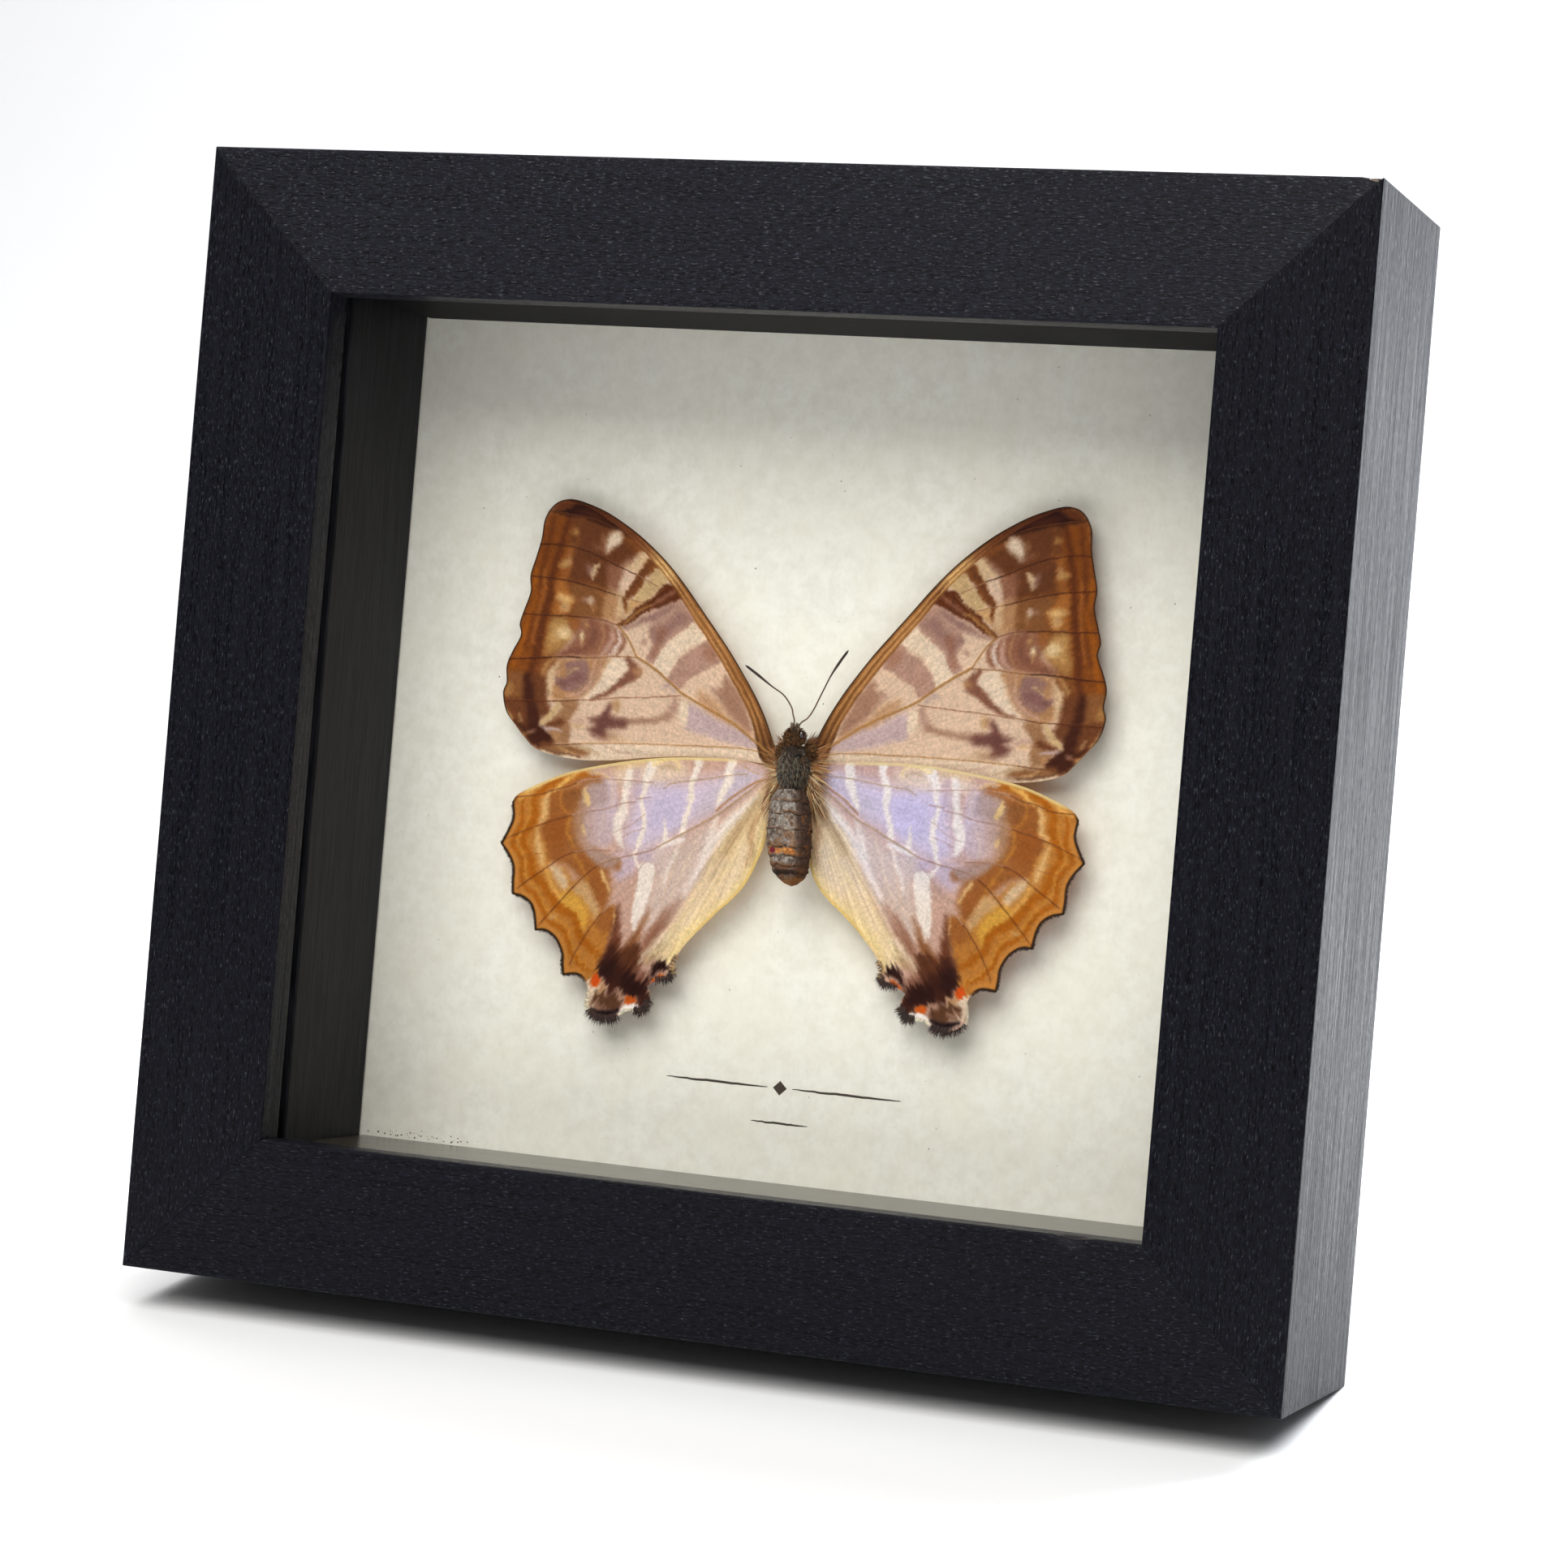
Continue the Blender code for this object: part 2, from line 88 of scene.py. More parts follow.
# Wings
WING_CELL = 0.12  # mm between a wing's grid points
SOFTEN = 1.35  # widens the markings' soft edges
WING_LIFT = 1.06  # brightens all the scales
WING_DEPTH_OF_TONE = 1.1  # above 1, the dark scales are darker
VEIN_SOFT, VEIN_STRENGTH = 0.05, 0.85
FOREWING_DEPTH = 30.1  # mm back from the frame's front face
HINDWING_DEPTH = 29.2
FOREWING_OUTLINE = [
    (3.3, 1.2, "corner"), (6, 6.6), (10, 12.4), (15, 18.4), (20, 24.1), (25, 28.4),
    (30, 31.4), (34, 32.9), (36.6, 33.3), (38.6, 32.5), (39.9, 30.4), (40.2, 27.6),
    (40.8, 25), (41.4, 22.4), (41.2, 20.2), (41.9, 17.6), (42.4, 15.6), (42.1, 14),
    (43.1, 11.6), (43.7, 9.6), (43.5, 7.4), (43.9, 5.8), (43.2, 3.3), (41.6, 1.4),
    (40, -0.3), (38.6, -1.5), (36, -2.2), (32, -2.6), (27, -2.3), (22, -1.6),
    (16, -1), (9, -0.9), (3.4, -1.2, "corner"),
]
HINDWING_OUTLINE = [
    (3.4, -1.6, "corner"), (8, -0.9), (14, -1), (19, -1.4), (24, -2.2), (29, -3.3),
    (33.5, -4.6), (37.5, -6.4), (40.2, -8), (41.1, -9.2, "corner"), (40.8, -11.4),
    (41.4, -13.2), (42.3, -15.1, "corner"), (41, -16.6), (40.2, -18.2), (40.1, -20.2),
    (39.9, -22, "corner"), (38.2, -22.3), (36.9, -23.3), (36.3, -24.9),
    (36, -26.7, "corner"), (34.4, -26.6), (32.8, -27.6), (31.8, -29.4), (31.7, -30.8),
    (31.5, -32.5, "corner"), (29.4, -32.2), (28, -33), (27.4, -34.6), (27.5, -36.2),
    (26.3, -37.6), (24.5, -37.9), (23, -37.4), (21.8, -36.4, "corner"), (20.6, -36.3),
    (19.2, -36.3), (18.4, -35.2), (18.3, -33.8), (18.9, -32.8, "corner"),
    (17.6, -31.9), (15.8, -31.6), (15.2, -30.6), (15.4, -29.4), (14.4, -27.6),
    (12.4, -25), (9.6, -22), (7, -19.5), (5.3, -17.2), (4.2, -14.5), (3.4, -12),
    (3.2, -8), (3.3, -4),
]
# How a wing is set: mm outward and mm upward, each worked out from (u, v, 1)
AS_DRAWN = ((1, 0, 0), (0, 1, 0))
FOREWING_RIGHT_SET = ((1.01, -0.006, -1.5), (0.053, 1.026, 0))
HINDWING_RIGHT_SET = ((1.011, -0.021, -1.5), (0.091, 0.978, 0))

# Tones of the wings, sRGB
PALETTE = {
    "soot": (36, 22, 24), "ink": (48, 24, 20), "sable": (70, 36, 25), "bark": (96, 50, 28),
    "peat": (92, 58, 38), "cocoa": (108, 64, 38), "walnut": (126, 76, 40), "bronze": (134, 88, 52),
    "coffee": (128, 84, 66), "copper": (130, 74, 30), "saddle": (148, 84, 34), "toffee": (168, 98, 24),
    "russet": (154, 96, 48), "cinnamon": (166, 106, 52), "caramel": (180, 120, 56),
    "camel": (166, 122, 72), "ochre": (190, 130, 54), "amber": (208, 158, 70), "gold": (222, 174, 98),
    "honey": (188, 146, 94), "apricot": (212, 172, 118), "wheat": (216, 184, 134),
    "straw": (230, 206, 154), "vanilla": (236, 220, 184), "cream": (222, 198, 160),
    "buff": (208, 178, 144), "biscuit": (196, 166, 124), "sand": (196, 156, 110), "tan": (176, 132, 94),
    "drab": (156, 116, 84), "clay": (146, 100, 78), "plum": (114, 74, 66), "mulberry": (132, 92, 88),
    "smoke": (148, 112, 104), "dusk": (160, 122, 102), "mauve": (176, 140, 124), "ash": (174, 150, 146),
    "heather": (178, 146, 156), "rose": (196, 160, 144), "petal": (206, 184, 174),
    "blush": (212, 183, 160), "shell": (220, 198, 176), "pearl": (230, 216, 206), "milk": (236, 226, 222),
    "haze": (190, 166, 166), "lavender": (194, 180, 190), "lilac": (206, 192, 212),
    "periwinkle": (192, 180, 206), "taupe": (150, 124, 98), "fawn": (178, 148, 112),
    "flame": (204, 84, 24), "orange": (196, 94, 32),
}
# Markings of the wings, in mm. A stroke is (colour, widths, softness, strength, points), an area
# (colour, softness, strength, points), and a spot (colour, softness, strength, centre, radii, turn).
# A vein is (width, colour, points).
FORE_GROUND, HIND_GROUND = "blush", "rose"
FORE_MARKS = [
    ("area", "walnut", 0.85, 1, [(44.7, 4.7), (44, 9.7), (41, 24.7), (40.3, 29.3), (38.7, 32.7), (36, 33.8),
        (32, 33), (28, 30.8), (25.2, 28.5), (24.7, 26.8), (26.3, 25.3), (28.3, 23.7), (29.3, 22),
        (30, 19.3), (30.2, 17.2), (32.7, 16.7), (34.7, 14.7), (36.3, 12), (36, 10.3), (37.7, 8),
        (39.3, 4.7)]),
    ("area", "copper", 0.55, 1, [(38.5, 30.8), (36.3, 30.7), (36, 27), (37.3, 19.3), (38.2, 14),
        (38.8, 11.3), (41, 8.7), (44.7, 8), (43.7, 11.3), (42, 18), (41.7, 22), (40.3, 28), (39.5, 30.7)]),
    ("stroke", "bark", 0.55, 0.4, 0.7, [(38.6, 30.3), (39.5, 25), (39.7, 22.7), (40.5, 18), (40.7, 15.3),
        (41.3, 12.7)]),
    ("stroke", "toffee", [0.65, 0.8, 0.85, 0.65], 0.35, 0.55, [(40.5, 23.3), (40.7, 21.3), (40.3, 19.3),
        (41, 16.7), (42, 12.3), (42.8, 9.7)]),
    ("stroke", "cinnamon", [0.4, 0.55, 0.55, 0.35], 0.3, 0.6, [(39.2, 23.3), (39.3, 19.3), (40.2, 13.3)]),
    ("stroke", "bark", [0.8, 0.8, 0.95, 1, 1.05, 1.15, 1], 0.35, 0.85, [(36.2, 30.7), (37.1, 27.7),
        (37.4, 26), (37.9, 24.3), (38.5, 19.3), (40, 9.3)]),
    ("stroke", "cocoa", [0.8, 0.85, 0.8], 0.35, 0.8, [(35.4, 30.5), (35.3, 29), (35.7, 27)]),
    ("spot", "camel", 0.35, 0.95, (35.3, 28.8), (0.5, 0.45), 0),
    ("stroke", "russet", [1, 1.4, 1.15], 0.35, 0.85, [(35.8, 26.5), (36, 24.7), (36.5, 22.3)]),
    ("spot", "honey", 0.35, 0.95, (36.4, 24.3), (0.8, 0.55), -8),
    ("spot", "tan", 0.3, 0.8, (35.9, 24.8), (0.4, 0.65), 0),
    ("area", "cinnamon", 0.4, 0.95, [(37.4, 21.9), (36, 21.7), (35.4, 20.8), (34.5, 19.6), (34.8, 18.3),
        (35.7, 17.3), (37.6, 17.3), (37.5, 19.3)]),
    ("spot", "apricot", 0.35, 0.95, (36, 19.5), (1.35, 0.65), 4),
    ("spot", "sand", 0.35, 0.9, (36, 18.3), (0.8, 0.75), 0),
    ("area", "camel", 0.45, 0.95, [(37.8, 16.8), (35.7, 16.8), (34.8, 15), (35, 13.7), (37.3, 11.7),
        (38.6, 11.7), (38.3, 14.7)]),
    ("area", "honey", 0.45, 0.9, [(37.3, 16.3), (35.7, 16.3), (34.9, 15.1), (35, 14.1), (37.1, 12.9),
        (37.8, 13.5), (37.7, 15)]),
    ("spot", "cream", 0.45, 0.8, (35.8, 14.7), (1.05, 0.85), 0),
    ("area", "cocoa", 0.4, 1, [(34.5, 30.5), (31, 29.8), (28, 28), (26.3, 26.5), (27.1, 25.1), (29, 24.7),
        (31.7, 25.7), (34.3, 26.5), (34.6, 28.3)]),
    ("area", "cocoa", 0.4, 1, [(35, 26.3), (32.7, 26.1), (30.3, 25.1), (29.3, 24.3), (29.9, 21.5),
        (32, 21.9), (35, 22.2), (35.3, 23.3)]),
    ("area", "bronze", 0.4, 1, [(35.5, 21.3), (32.7, 21.5), (30.2, 21.1), (30, 19.3), (30.2, 17.3),
        (32.7, 17.1), (34.9, 17.1), (34.3, 19.3)]),
    ("area", "ink", 0.35, 1, [(38.9, 31.4), (37.3, 31.7), (35, 32.9), (32.7, 32.6), (30, 31.6), (28, 30.5),
        (26, 28.8), (27, 28.6), (28.7, 29.3), (32, 30.1), (34.3, 30.8), (36, 30.9)]),
    ("spot", "bark", 0.45, 0.9, (37.3, 32.3), (1.25, 0.5), -20),
    ("spot", "bark", 0.55, 0.8, (33, 31.2), (1.75, 0.4), 14),
    ("stroke", "walnut", [0.15, 0.4, 0.4, 0.25], 0.2, 0.8, [(30.8, 31.1), (27.7, 29.5), (25.7, 28)]),
    ("area", "shell", 0.45, 1, [(29.9, 29.1), (29, 29.3), (28.3, 28.5), (28.5, 27.8), (29.4, 27.1),
        (30.5, 26.2), (30.7, 28)]),
    ("spot", "clay", 0.45, 0.7, (31.4, 26.7), (0.8, 0.35), 20),
    ("spot", "drab", 0.4, 0.7, (31.1, 28.1), (0.45, 0.6), 0),
    ("area", "buff", 0.25, 0.95, [(31.5, 24.7), (31.2, 24.6), (31.5, 24), (32.1, 22.5), (32.4, 22.6),
        (32.7, 23.3), (32.5, 24.1)]),
    ("spot", "smoke", 0.35, 0.7, (32.8, 23.7), (0.45, 0.75), -20),
    ("spot", "shell", 0.25, 0.9, (32.2, 19.5), (0.35, 0.5), 0),
    ("spot", "mauve", 0.3, 0.8, (32.7, 19.5), (0.6, 0.25), 0),
    ("spot", "tan", 0.35, 0.7, (31.9, 18.5), (0.25, 0.45), 0),
    ("area", "clay", 0.55, 0.95, [(29.9, 24.5), (28, 24.1), (27.3, 23.6), (27.7, 22), (28.1, 20.9),
        (29.8, 21.3), (30.1, 23)]),
    ("area", "tan", 0.55, 0.95, [(29.9, 21), (28.3, 20.8), (27.5, 19.3), (27.3, 17.3), (27.8, 16.7),
        (30.1, 17.1), (30.3, 19.2)]),
    ("area", "dusk", 0.45, 0.8, [(27.8, 25.2), (26.3, 26), (25.6, 26.5), (26, 24.8), (27, 24.3),
        (28.3, 24.5)]),
    ("area", "buff", 0.3, 1, [(25.1, 26.7), (24.4, 26.1), (24.3, 25.1), (25.1, 24.3), (25.8, 23.6),
        (27.5, 24.4), (26.5, 25.1)]),
    ("area", "blush", 0.35, 1, [(27.5, 24), (26, 23.5), (25.8, 22.7), (26.9, 20.6), (27.9, 20.9),
        (28.3, 21.3)]),
    ("area", "buff", 0.35, 0.8, [(28.5, 20.7), (27.4, 20.5), (27.1, 19.1), (27.5, 17.8), (28.1, 17.1),
        (28.5, 18), (28.3, 19.3)]),
    ("area", "walnut", 0.25, 1, [(24.3, 25.7), (23, 25.3), (22.5, 24.6), (24.1, 23.3), (25.1, 21.3),
        (26.7, 20), (26.6, 19.3), (26.8, 18.3), (27.1, 18.3), (27.5, 20.3), (26.2, 22.3), (25.9, 23.3),
        (25.2, 24)]),
    ("stroke", "cocoa", [0.55, 0.65, 0.6, 0.35], 0.25, 0.8, [(23.7, 25.2), (24.7, 23.9), (27.1, 20.3)]),
    ("area", "biscuit", 0.25, 1, [(23.1, 24.5), (21.9, 24.3), (21.2, 23.3), (21.4, 22.3), (22.3, 21.9),
        (23.9, 22.8), (23.4, 23.7)]),
    ("area", "biscuit", 0.25, 1, [(24, 22.6), (22.3, 21.8), (22.9, 21), (23.9, 20), (24.7, 19.8),
        (25.9, 20.3), (25.2, 21.3)]),
    ("area", "bark", 0.2, 1, [(28, 16.5), (27, 17.3), (26, 18.3), (25.3, 19.3), (23, 20.6), (22.2, 21.7),
        (21.3, 22.4), (20.3, 22.3), (19.3, 22.3), (18.5, 21.3), (18.9, 20.3), (20, 19.8), (23.3, 18.6),
        (24.3, 18.1), (26.3, 16.5), (27.5, 16)]),
    ("stroke", "camel", [0.25, 0.55, 0.45, 0.35], 0.2, 0.9, [(27.5, 16.3), (24.6, 18.7), (23.2, 19.3)]),
    ("stroke", "clay", [0.25, 0.65, 0.6, 0.25], 0.25, 0.8, [(23.2, 19.3), (20.5, 21.1), (19.7, 21.7)]),
    ("area", "sand", 0.25, 1, [(26.4, 20), (24.8, 19.7), (25.7, 18.9), (26.5, 18.1), (27.1, 17.8),
        (26.7, 18.9)]),
    ("area", "blush", 0.25, 1, [(27.7, 15.9), (26, 16.7), (23, 18), (20, 20), (17.3, 19.3), (9.3, 9.7),
        (6.7, 4.7), (4.7, 1.7), (9.3, 3.7), (16, 7), (22.7, 11), (24.7, 12.2), (26.1, 14.3)]),
    ("area", "smoke", 0.4, 0.9, [(27.3, 16), (25.3, 16.9), (24, 17.9), (19.7, 20), (19.3, 19.3), (21.3, 18),
        (23, 17), (24.7, 16.7), (26, 16.1)]),
    ("area", "mauve", 0.25, 1, [(23, 16.7), (22, 17.7), (20.3, 18.7), (19.3, 20.2), (18.3, 19.7),
        (16.9, 18), (16.9, 17.3), (17.7, 16.6), (18.7, 16.1), (19.3, 15.3), (20.3, 14.6), (21.3, 12.7),
        (21.9, 11.3), (23.3, 11.9), (22.6, 13.9), (23.3, 15.3)]),
    ("area", "smoke", 0.45, 0.8, [(23, 16.3), (21.3, 16.7), (19.3, 18.7), (17.7, 18.3), (17.3, 17.6),
        (19.3, 16.7), (20.7, 15), (21.7, 14), (22.5, 14.7)]),
    ("area", "clay", 0.35, 0.6, [(22, 16.3), (20.7, 16.3), (21.3, 14.3), (21.9, 12.3), (22.7, 12.3),
        (22.1, 14.3)]),
    ("area", "shell", 0.2, 1, [(16.9, 17.4), (14.9, 15.3), (16, 14.7), (18.3, 13.2), (19.3, 11.3),
        (19.6, 10), (20, 9.4), (22.1, 11.1), (21.3, 12.7), (20.1, 14.6), (17.6, 16.5)]),
    ("area", "mauve", 0.2, 1, [(14.9, 15.1), (13.9, 14.7), (12.5, 12.7), (12.4, 12.1), (13.3, 11.7),
        (16, 10.1), (16.7, 9.6), (17.7, 8.3), (18.7, 8.7), (19.9, 9.4), (19.5, 10.5), (18.3, 12.5),
        (16, 14.2)]),
    ("spot", "mauve", 0.4, 0.7, (18.6, 9.7), (1.05, 0.75), -30),
    ("spot", "dusk", 0.35, 0.6, (17.8, 10.4), (0.55, 0.4), 0),
    ("spot", "clay", 0.45, 0.6, (14, 13.3), (1.15, 0.75), 50),
    ("area", "blush", 0.35, 1, [(17.3, 8.3), (16.5, 9.3), (12.7, 11.6), (11.5, 11.3), (10.6, 9.9),
        (12, 9.5), (12.9, 8.7), (13.9, 7.9), (13.2, 7), (12.7, 5.9), (14, 6), (16, 6.9)]),
    ("area", "dusk", 0.55, 1, [(11.7, 9.9), (10.9, 10.1), (8.9, 7.7), (7.4, 4.7), (7.1, 3.2), (8, 3.1),
        (10.7, 5.4), (12.7, 7.9), (12.6, 8.5), (11.7, 9.1)]),
    ("spot", "mauve", 0.35, 0.7, (12.7, 8.3), (0.75, 0.35), 20),
    ("area", "tan", 0.6, 0.7, [(15, 8), (12.7, 7), (10.7, 5), (8.7, 3.7), (6.7, 2.7), (8.7, 2.7),
        (12.7, 4.7), (15, 6.7)]),
    ("spot", "mauve", 0.25, 0.9, (23.9, 14.2), (0.5, 0.3), -25),
    ("spot", "ash", 0.3, 0.85, (19.9, 8.4), (0.65, 0.35), -20),
    ("spot", "ash", 0.3, 0.7, (18.9, 7.9), (0.4, 0.35), -20),
    ("area", "haze", 0.45, 1, [(16.4, 6.1), (14.7, 5.7), (12.7, 4.7), (9.3, 3.4), (6.3, 1.8), (5.7, 1.2),
        (7.7, 0.9), (14.7, 2.3), (16.3, 2.6), (16.8, 4)]),
    ("stroke", "haze", [1, 1.2, 0.65], 0.55, 0.8, [(12.7, 3.3), (9.7, 2.3), (6.7, 1.4)]),
    ("stroke", "haze", [1, 0.85], 0.4, 0.5, [(16, 5.3), (13, 4)]),
    ("stroke", "mauve", [1.15, 1.25, 1], 0.45, 0.85, [(18.4, 6.5), (18.7, 5.2), (19.3, 4)]),
    ("area", "shell", 0.2, 1, [(17.7, 6.5), (16.5, 6.1), (16.4, 4.7), (16.5, 3.6), (17.4, 3.6), (17.8, 5)]),
    ("stroke", "dusk", [0.8, 0.75, 0.8, 1, 1.35], 0.35, 0.85, [(19.5, 4.4), (21, 3.7), (23, 3.4),
        (27.3, 2.9)]),
    ("stroke", "buff", 0.45, 0.4, 0.5, [(27.3, 0.7), (24.7, 0.5)]),
    ("area", "shell", 0.25, 1, [(27.7, 11.9), (26.6, 11.5), (25.9, 10.7), (26.9, 8.7), (29.3, 6.6),
        (30.6, 6), (31.7, 5.8), (31.3, 6.8), (30.1, 8.3), (29.3, 9.7), (29.3, 10.7), (28.9, 11.5)]),
    ("stroke", "coffee", [0.55, 1.35, 1.8, 1.35, 1, 0.8, 0.6, 0.25], 0.3, 0.95, [(26.1, 11.8), (25.3, 10.9),
        (24.9, 9.9), (25.9, 9.1), (28, 7.3), (29.3, 6.5), (31, 5.9)]),
    ("spot", "tan", 0.4, 0.8, (24.4, 10.1), (0.65, 0.65), 0),
    ("area", "plum", 0.55, 1, [(31.3, 3), (30, 3.5), (28.6, 5.2), (27.7, 5.2), (28, 4.1), (27, 3.5),
        (25.6, 3.3), (25.6, 2.3), (27.1, 2.1), (28.3, 1.7), (28.2, 0.8), (29.1, 0.5), (31.1, 1.6),
        (30.1, 2.3)]),
    ("spot", "drab", 0.55, 0.5, (27.5, 0.8), (1.15, 0.6), 0),
    ("spot", "camel", 0.45, 0.6, (27.1, 5.2), (0.55, 0.75), 0),
    ("area", "blush", 0.35, 1, [(31.3, 5.2), (28.7, 5.9), (28.9, 4.7), (30.2, 3.7), (31.9, 3.5),
        (32.8, 3.9), (32.1, 4.8)]),
    ("area", "blush", 0.35, 1, [(33.6, 2.9), (31.7, 3.3), (30.9, 2.6), (31.7, 1.7), (31.1, 0.6), (30, -0.1),
        (32, -0.3), (33.6, -0.1), (34, 1.3), (34.3, 2.3)]),
    ("spot", "sand", 0.35, 0.6, (32.7, 2.1), (0.75, 0.35), 0),
    ("area", "clay", 0.45, 1, [(35, 16.3), (32.7, 16.9), (30.3, 16.9), (28.7, 16.3), (27.7, 15.3),
        (27.6, 14), (29, 12.1), (31.3, 11.7), (36, 11.4), (36.4, 12), (35, 13.1), (34.3, 14), (34.5, 15)]),
    ("area", "russet", 0.4, 0.8, [(35.4, 16.7), (34.3, 16.9), (33.6, 16.3), (34.3, 14.8)]),
    ("stroke", "coffee", [0.65, 1, 1.05, 0.85, 0.55], 0.35, 0.85, [(31.9, 16.7), (31.3, 15), (32, 13.3),
        (33.5, 12.4), (35.5, 11.9)]),
    ("stroke", "tan", [0.2, 0.25, 0.25, 0.2], 0.2, 0.8, [(30.4, 16.7), (29.9, 15), (30.2, 13.3),
        (30.8, 11.9)]),
    ("stroke", "rose", [0.35, 0.85, 0.85, 0.35], 0.3, 0.8, [(28.9, 15.9), (28.7, 14.3), (29.3, 12.9),
        (30.1, 12)]),
    ("stroke", "petal", [0.2, 0.45, 0.45, 0.2], 0.15, 1, [(28.1, 15.7), (27.7, 14.7), (27.9, 13.3),
        (28.9, 12.2)]),
    ("stroke", "clay", [0.2, 0.6, 0.65, 0.25], 0.25, 0.95, [(27.3, 15.3), (26.9, 14.2), (27.3, 13),
        (27.9, 12.2)]),
    ("spot", "cream", 0.25, 1, (33.1, 14.5), (0.35, 0.5), -10),
    ("spot", "honey", 0.25, 0.8, (32.6, 15.9), (0.2, 0.4), -10),
    ("spot", "sand", 0.2, 0.7, (33.1, 13.6), (0.15, 0.45), -10),
    ("spot", "dusk", 0.25, 0.7, (33.7, 15), (0.35, 0.25), 0),
    ("area", "tan", 0.45, 1, [(36, 11.1), (29.3, 11.6), (29.5, 10.3), (30.9, 7.5), (33.3, 5.5), (36, 5.3),
        (37.1, 6.3), (36.3, 8), (36.1, 9.7)]),
    ("stroke", "mauve", [0.45, 0.6, 0.45], 0.25, 0.6, [(30, 11.3), (30.4, 9.3), (31.4, 7.6), (32.9, 6.1)]),
    ("stroke", "rose", [0.25, 0.45, 0.45, 0.35], 0.25, 0.8, [(30.9, 11.3), (31, 9.7), (31.5, 8),
        (32.7, 6.7), (34.5, 5.9)]),
    ("area", "smoke", 0.3, 1, [(35.3, 10.5), (32.7, 11.3), (31.8, 10.7), (31.5, 9.3), (31.9, 7.9), (33, 7),
        (34.5, 6.6), (35.5, 7), (36.2, 7.9), (36.3, 8.5), (35.1, 8.5), (35, 9.7)]),
    ("spot", "mulberry", 0.4, 0.8, (33.5, 8.5), (1.2, 0.65), -20),
    ("spot", "plum", 0.35, 0.6, (35.3, 7.7), (0.65, 0.45), 0),
    ("stroke", "biscuit", [0.15, 0.3, 0.15], 0.15, 1, [(34.8, 8.9), (34.1, 9.6), (33.2, 9.9)]),
    ("spot", "dusk", 0.25, 0.7, (34.5, 9.6), (0.55, 0.4), -20),
    ("stroke", "buff", [0.4, 1, 1.15, 0.65], 0.4, 0.9, [(36.3, 10.5), (37.1, 9.1), (37.3, 7.7), (37.1, 6)]),
    ("stroke", "apricot", [0.35, 0.6, 0.35], 0.35, 0.6, [(36.9, 11.3), (38.1, 9.7), (38.5, 8.3)]),
    ("area", "bronze", 0.4, 1, [(43.8, 8.7), (41, 8.7), (40.3, 4.7), (39.2, 1.5), (37.7, -0.3), (38, -1.5),
        (39.5, -1), (41.1, 0.6), (42.8, 2.9), (43.9, 6)]),
    ("area", "camel", 0.35, 0.8, [(43.7, 7.1), (42.8, 7.3), (42.5, 6.3), (42.9, 5.5), (43.7, 5.8)]),
    ("area", "cocoa", 0.4, 0.9, [(43.5, 5.2), (41, 5.1), (39.7, 4.3), (39.3, 1.7), (40.3, 1.3), (41.7, 2.1),
        (43.2, 4)]),
    ("area", "cocoa", 0.45, 0.95, [(40, 8.5), (38, 8.5), (37.3, 5.3), (36.7, 4.3), (37, 3.2), (38.1, 2.6),
        (38.5, 1.7), (37.5, 0.9), (36.1, -0.3), (37.7, -1), (39, 0.3), (39.7, 4.7)]),
    ("stroke", "sable", [1, 1.4, 1.55, 1.6, 1.8, 1.95, 1.55], 0.45, 0.95, [(40.5, 8.5), (40.2, 6),
        (39.7, 4.7), (39.1, 2.1), (39.3, 1.6)]),
    ("stroke", "fawn", [0.25, 0.4, 0.35], 0.25, 0.7, [(41.3, 3), (41.1, 2.5), (40.8, 2)]),
    ("stroke", "honey", [0.35, 0.6, 0.45], 0.25, 0.85, [(43, 3.1), (42.5, 2.2), (41.7, 1.2)]),
    ("stroke", "sand", [0.35, 0.55, 0.45], 0.25, 0.9, [(41.1, 0.7), (40.5, 0.1), (39.7, -0.4)]),
    ("stroke", "sable", [0.35, 0.6, 0.65, 0.55], 0.25, 0.9, [(41.7, 1.9), (41.1, 1.4), (39.7, 0.9)]),
    ("area", "drab", 0.35, 1, [(35, 5.3), (32.8, 5.3), (32.7, 4.5), (33.5, 3.5), (33.8, 2.5), (33.8, -0.3),
        (35, -0.4), (36.3, -0.3), (36.8, 0.7), (37.3, 1.6), (37.1, 2.3), (36, 3.3), (35.3, 4.3)]),
    ("stroke", "biscuit", [0.45, 0.8, 0.8, 0.45], 0.25, 1, [(35.6, 5.1), (36.1, 4), (38.1, 1.8)]),
    ("area", "cocoa", 0.3, 0.9, [(37.5, 1.7), (35.3, 2.9), (34.5, 2.7), (34.8, 2), (36, 1.7)]),
    ("stroke", "haze", [0.15, 0.4, 0.45, 0.2], 0.2, 1, [(38, 1.5), (37.1, 1.4), (35.1, 1.2)]),
    ("area", "tan", 0.3, 0.9, [(36.4, 0.9), (35.3, 0.9), (35.3, 0), (36.1, -0.2)]),
    ("stroke", "rose", [0.45, 0.75, 0.55], 0.3, 0.8, [(33.6, 2.7), (32.3, 2.7), (31.3, 2.5)]),
    ("area", "sable", 0.3, 1, [(39.7, 1.7), (38.1, 1.6), (37.3, 1.1), (35.9, -0.7), (37.1, -1.3),
        (38.3, -1.3), (39.5, -0.7), (40, 0.1), (39.3, 0.7)]),
    ("spot", "dusk", 0.25, 0.8, (39.3, 0.8), (0.45, 0.25), -25),
    ("area", "shell", 0.25, 1, [(36, -0.8), (32, -0.5), (22.7, 0.1), (4.3, 0.7), (3.3, -0.7), (12.7, -1.2),
        (19.3, -1.3), (26, -2.3), (32.7, -3.3), (37.7, -2.3)]),
    ("area", "bronze", 0.45, 0.9, [(37.5, -0.6), (35, -0.6), (32.7, -0.8), (30.7, -1.5), (31.3, -2.1),
        (33.3, -2.1), (35.7, -1.9), (37.7, -1.5)]),
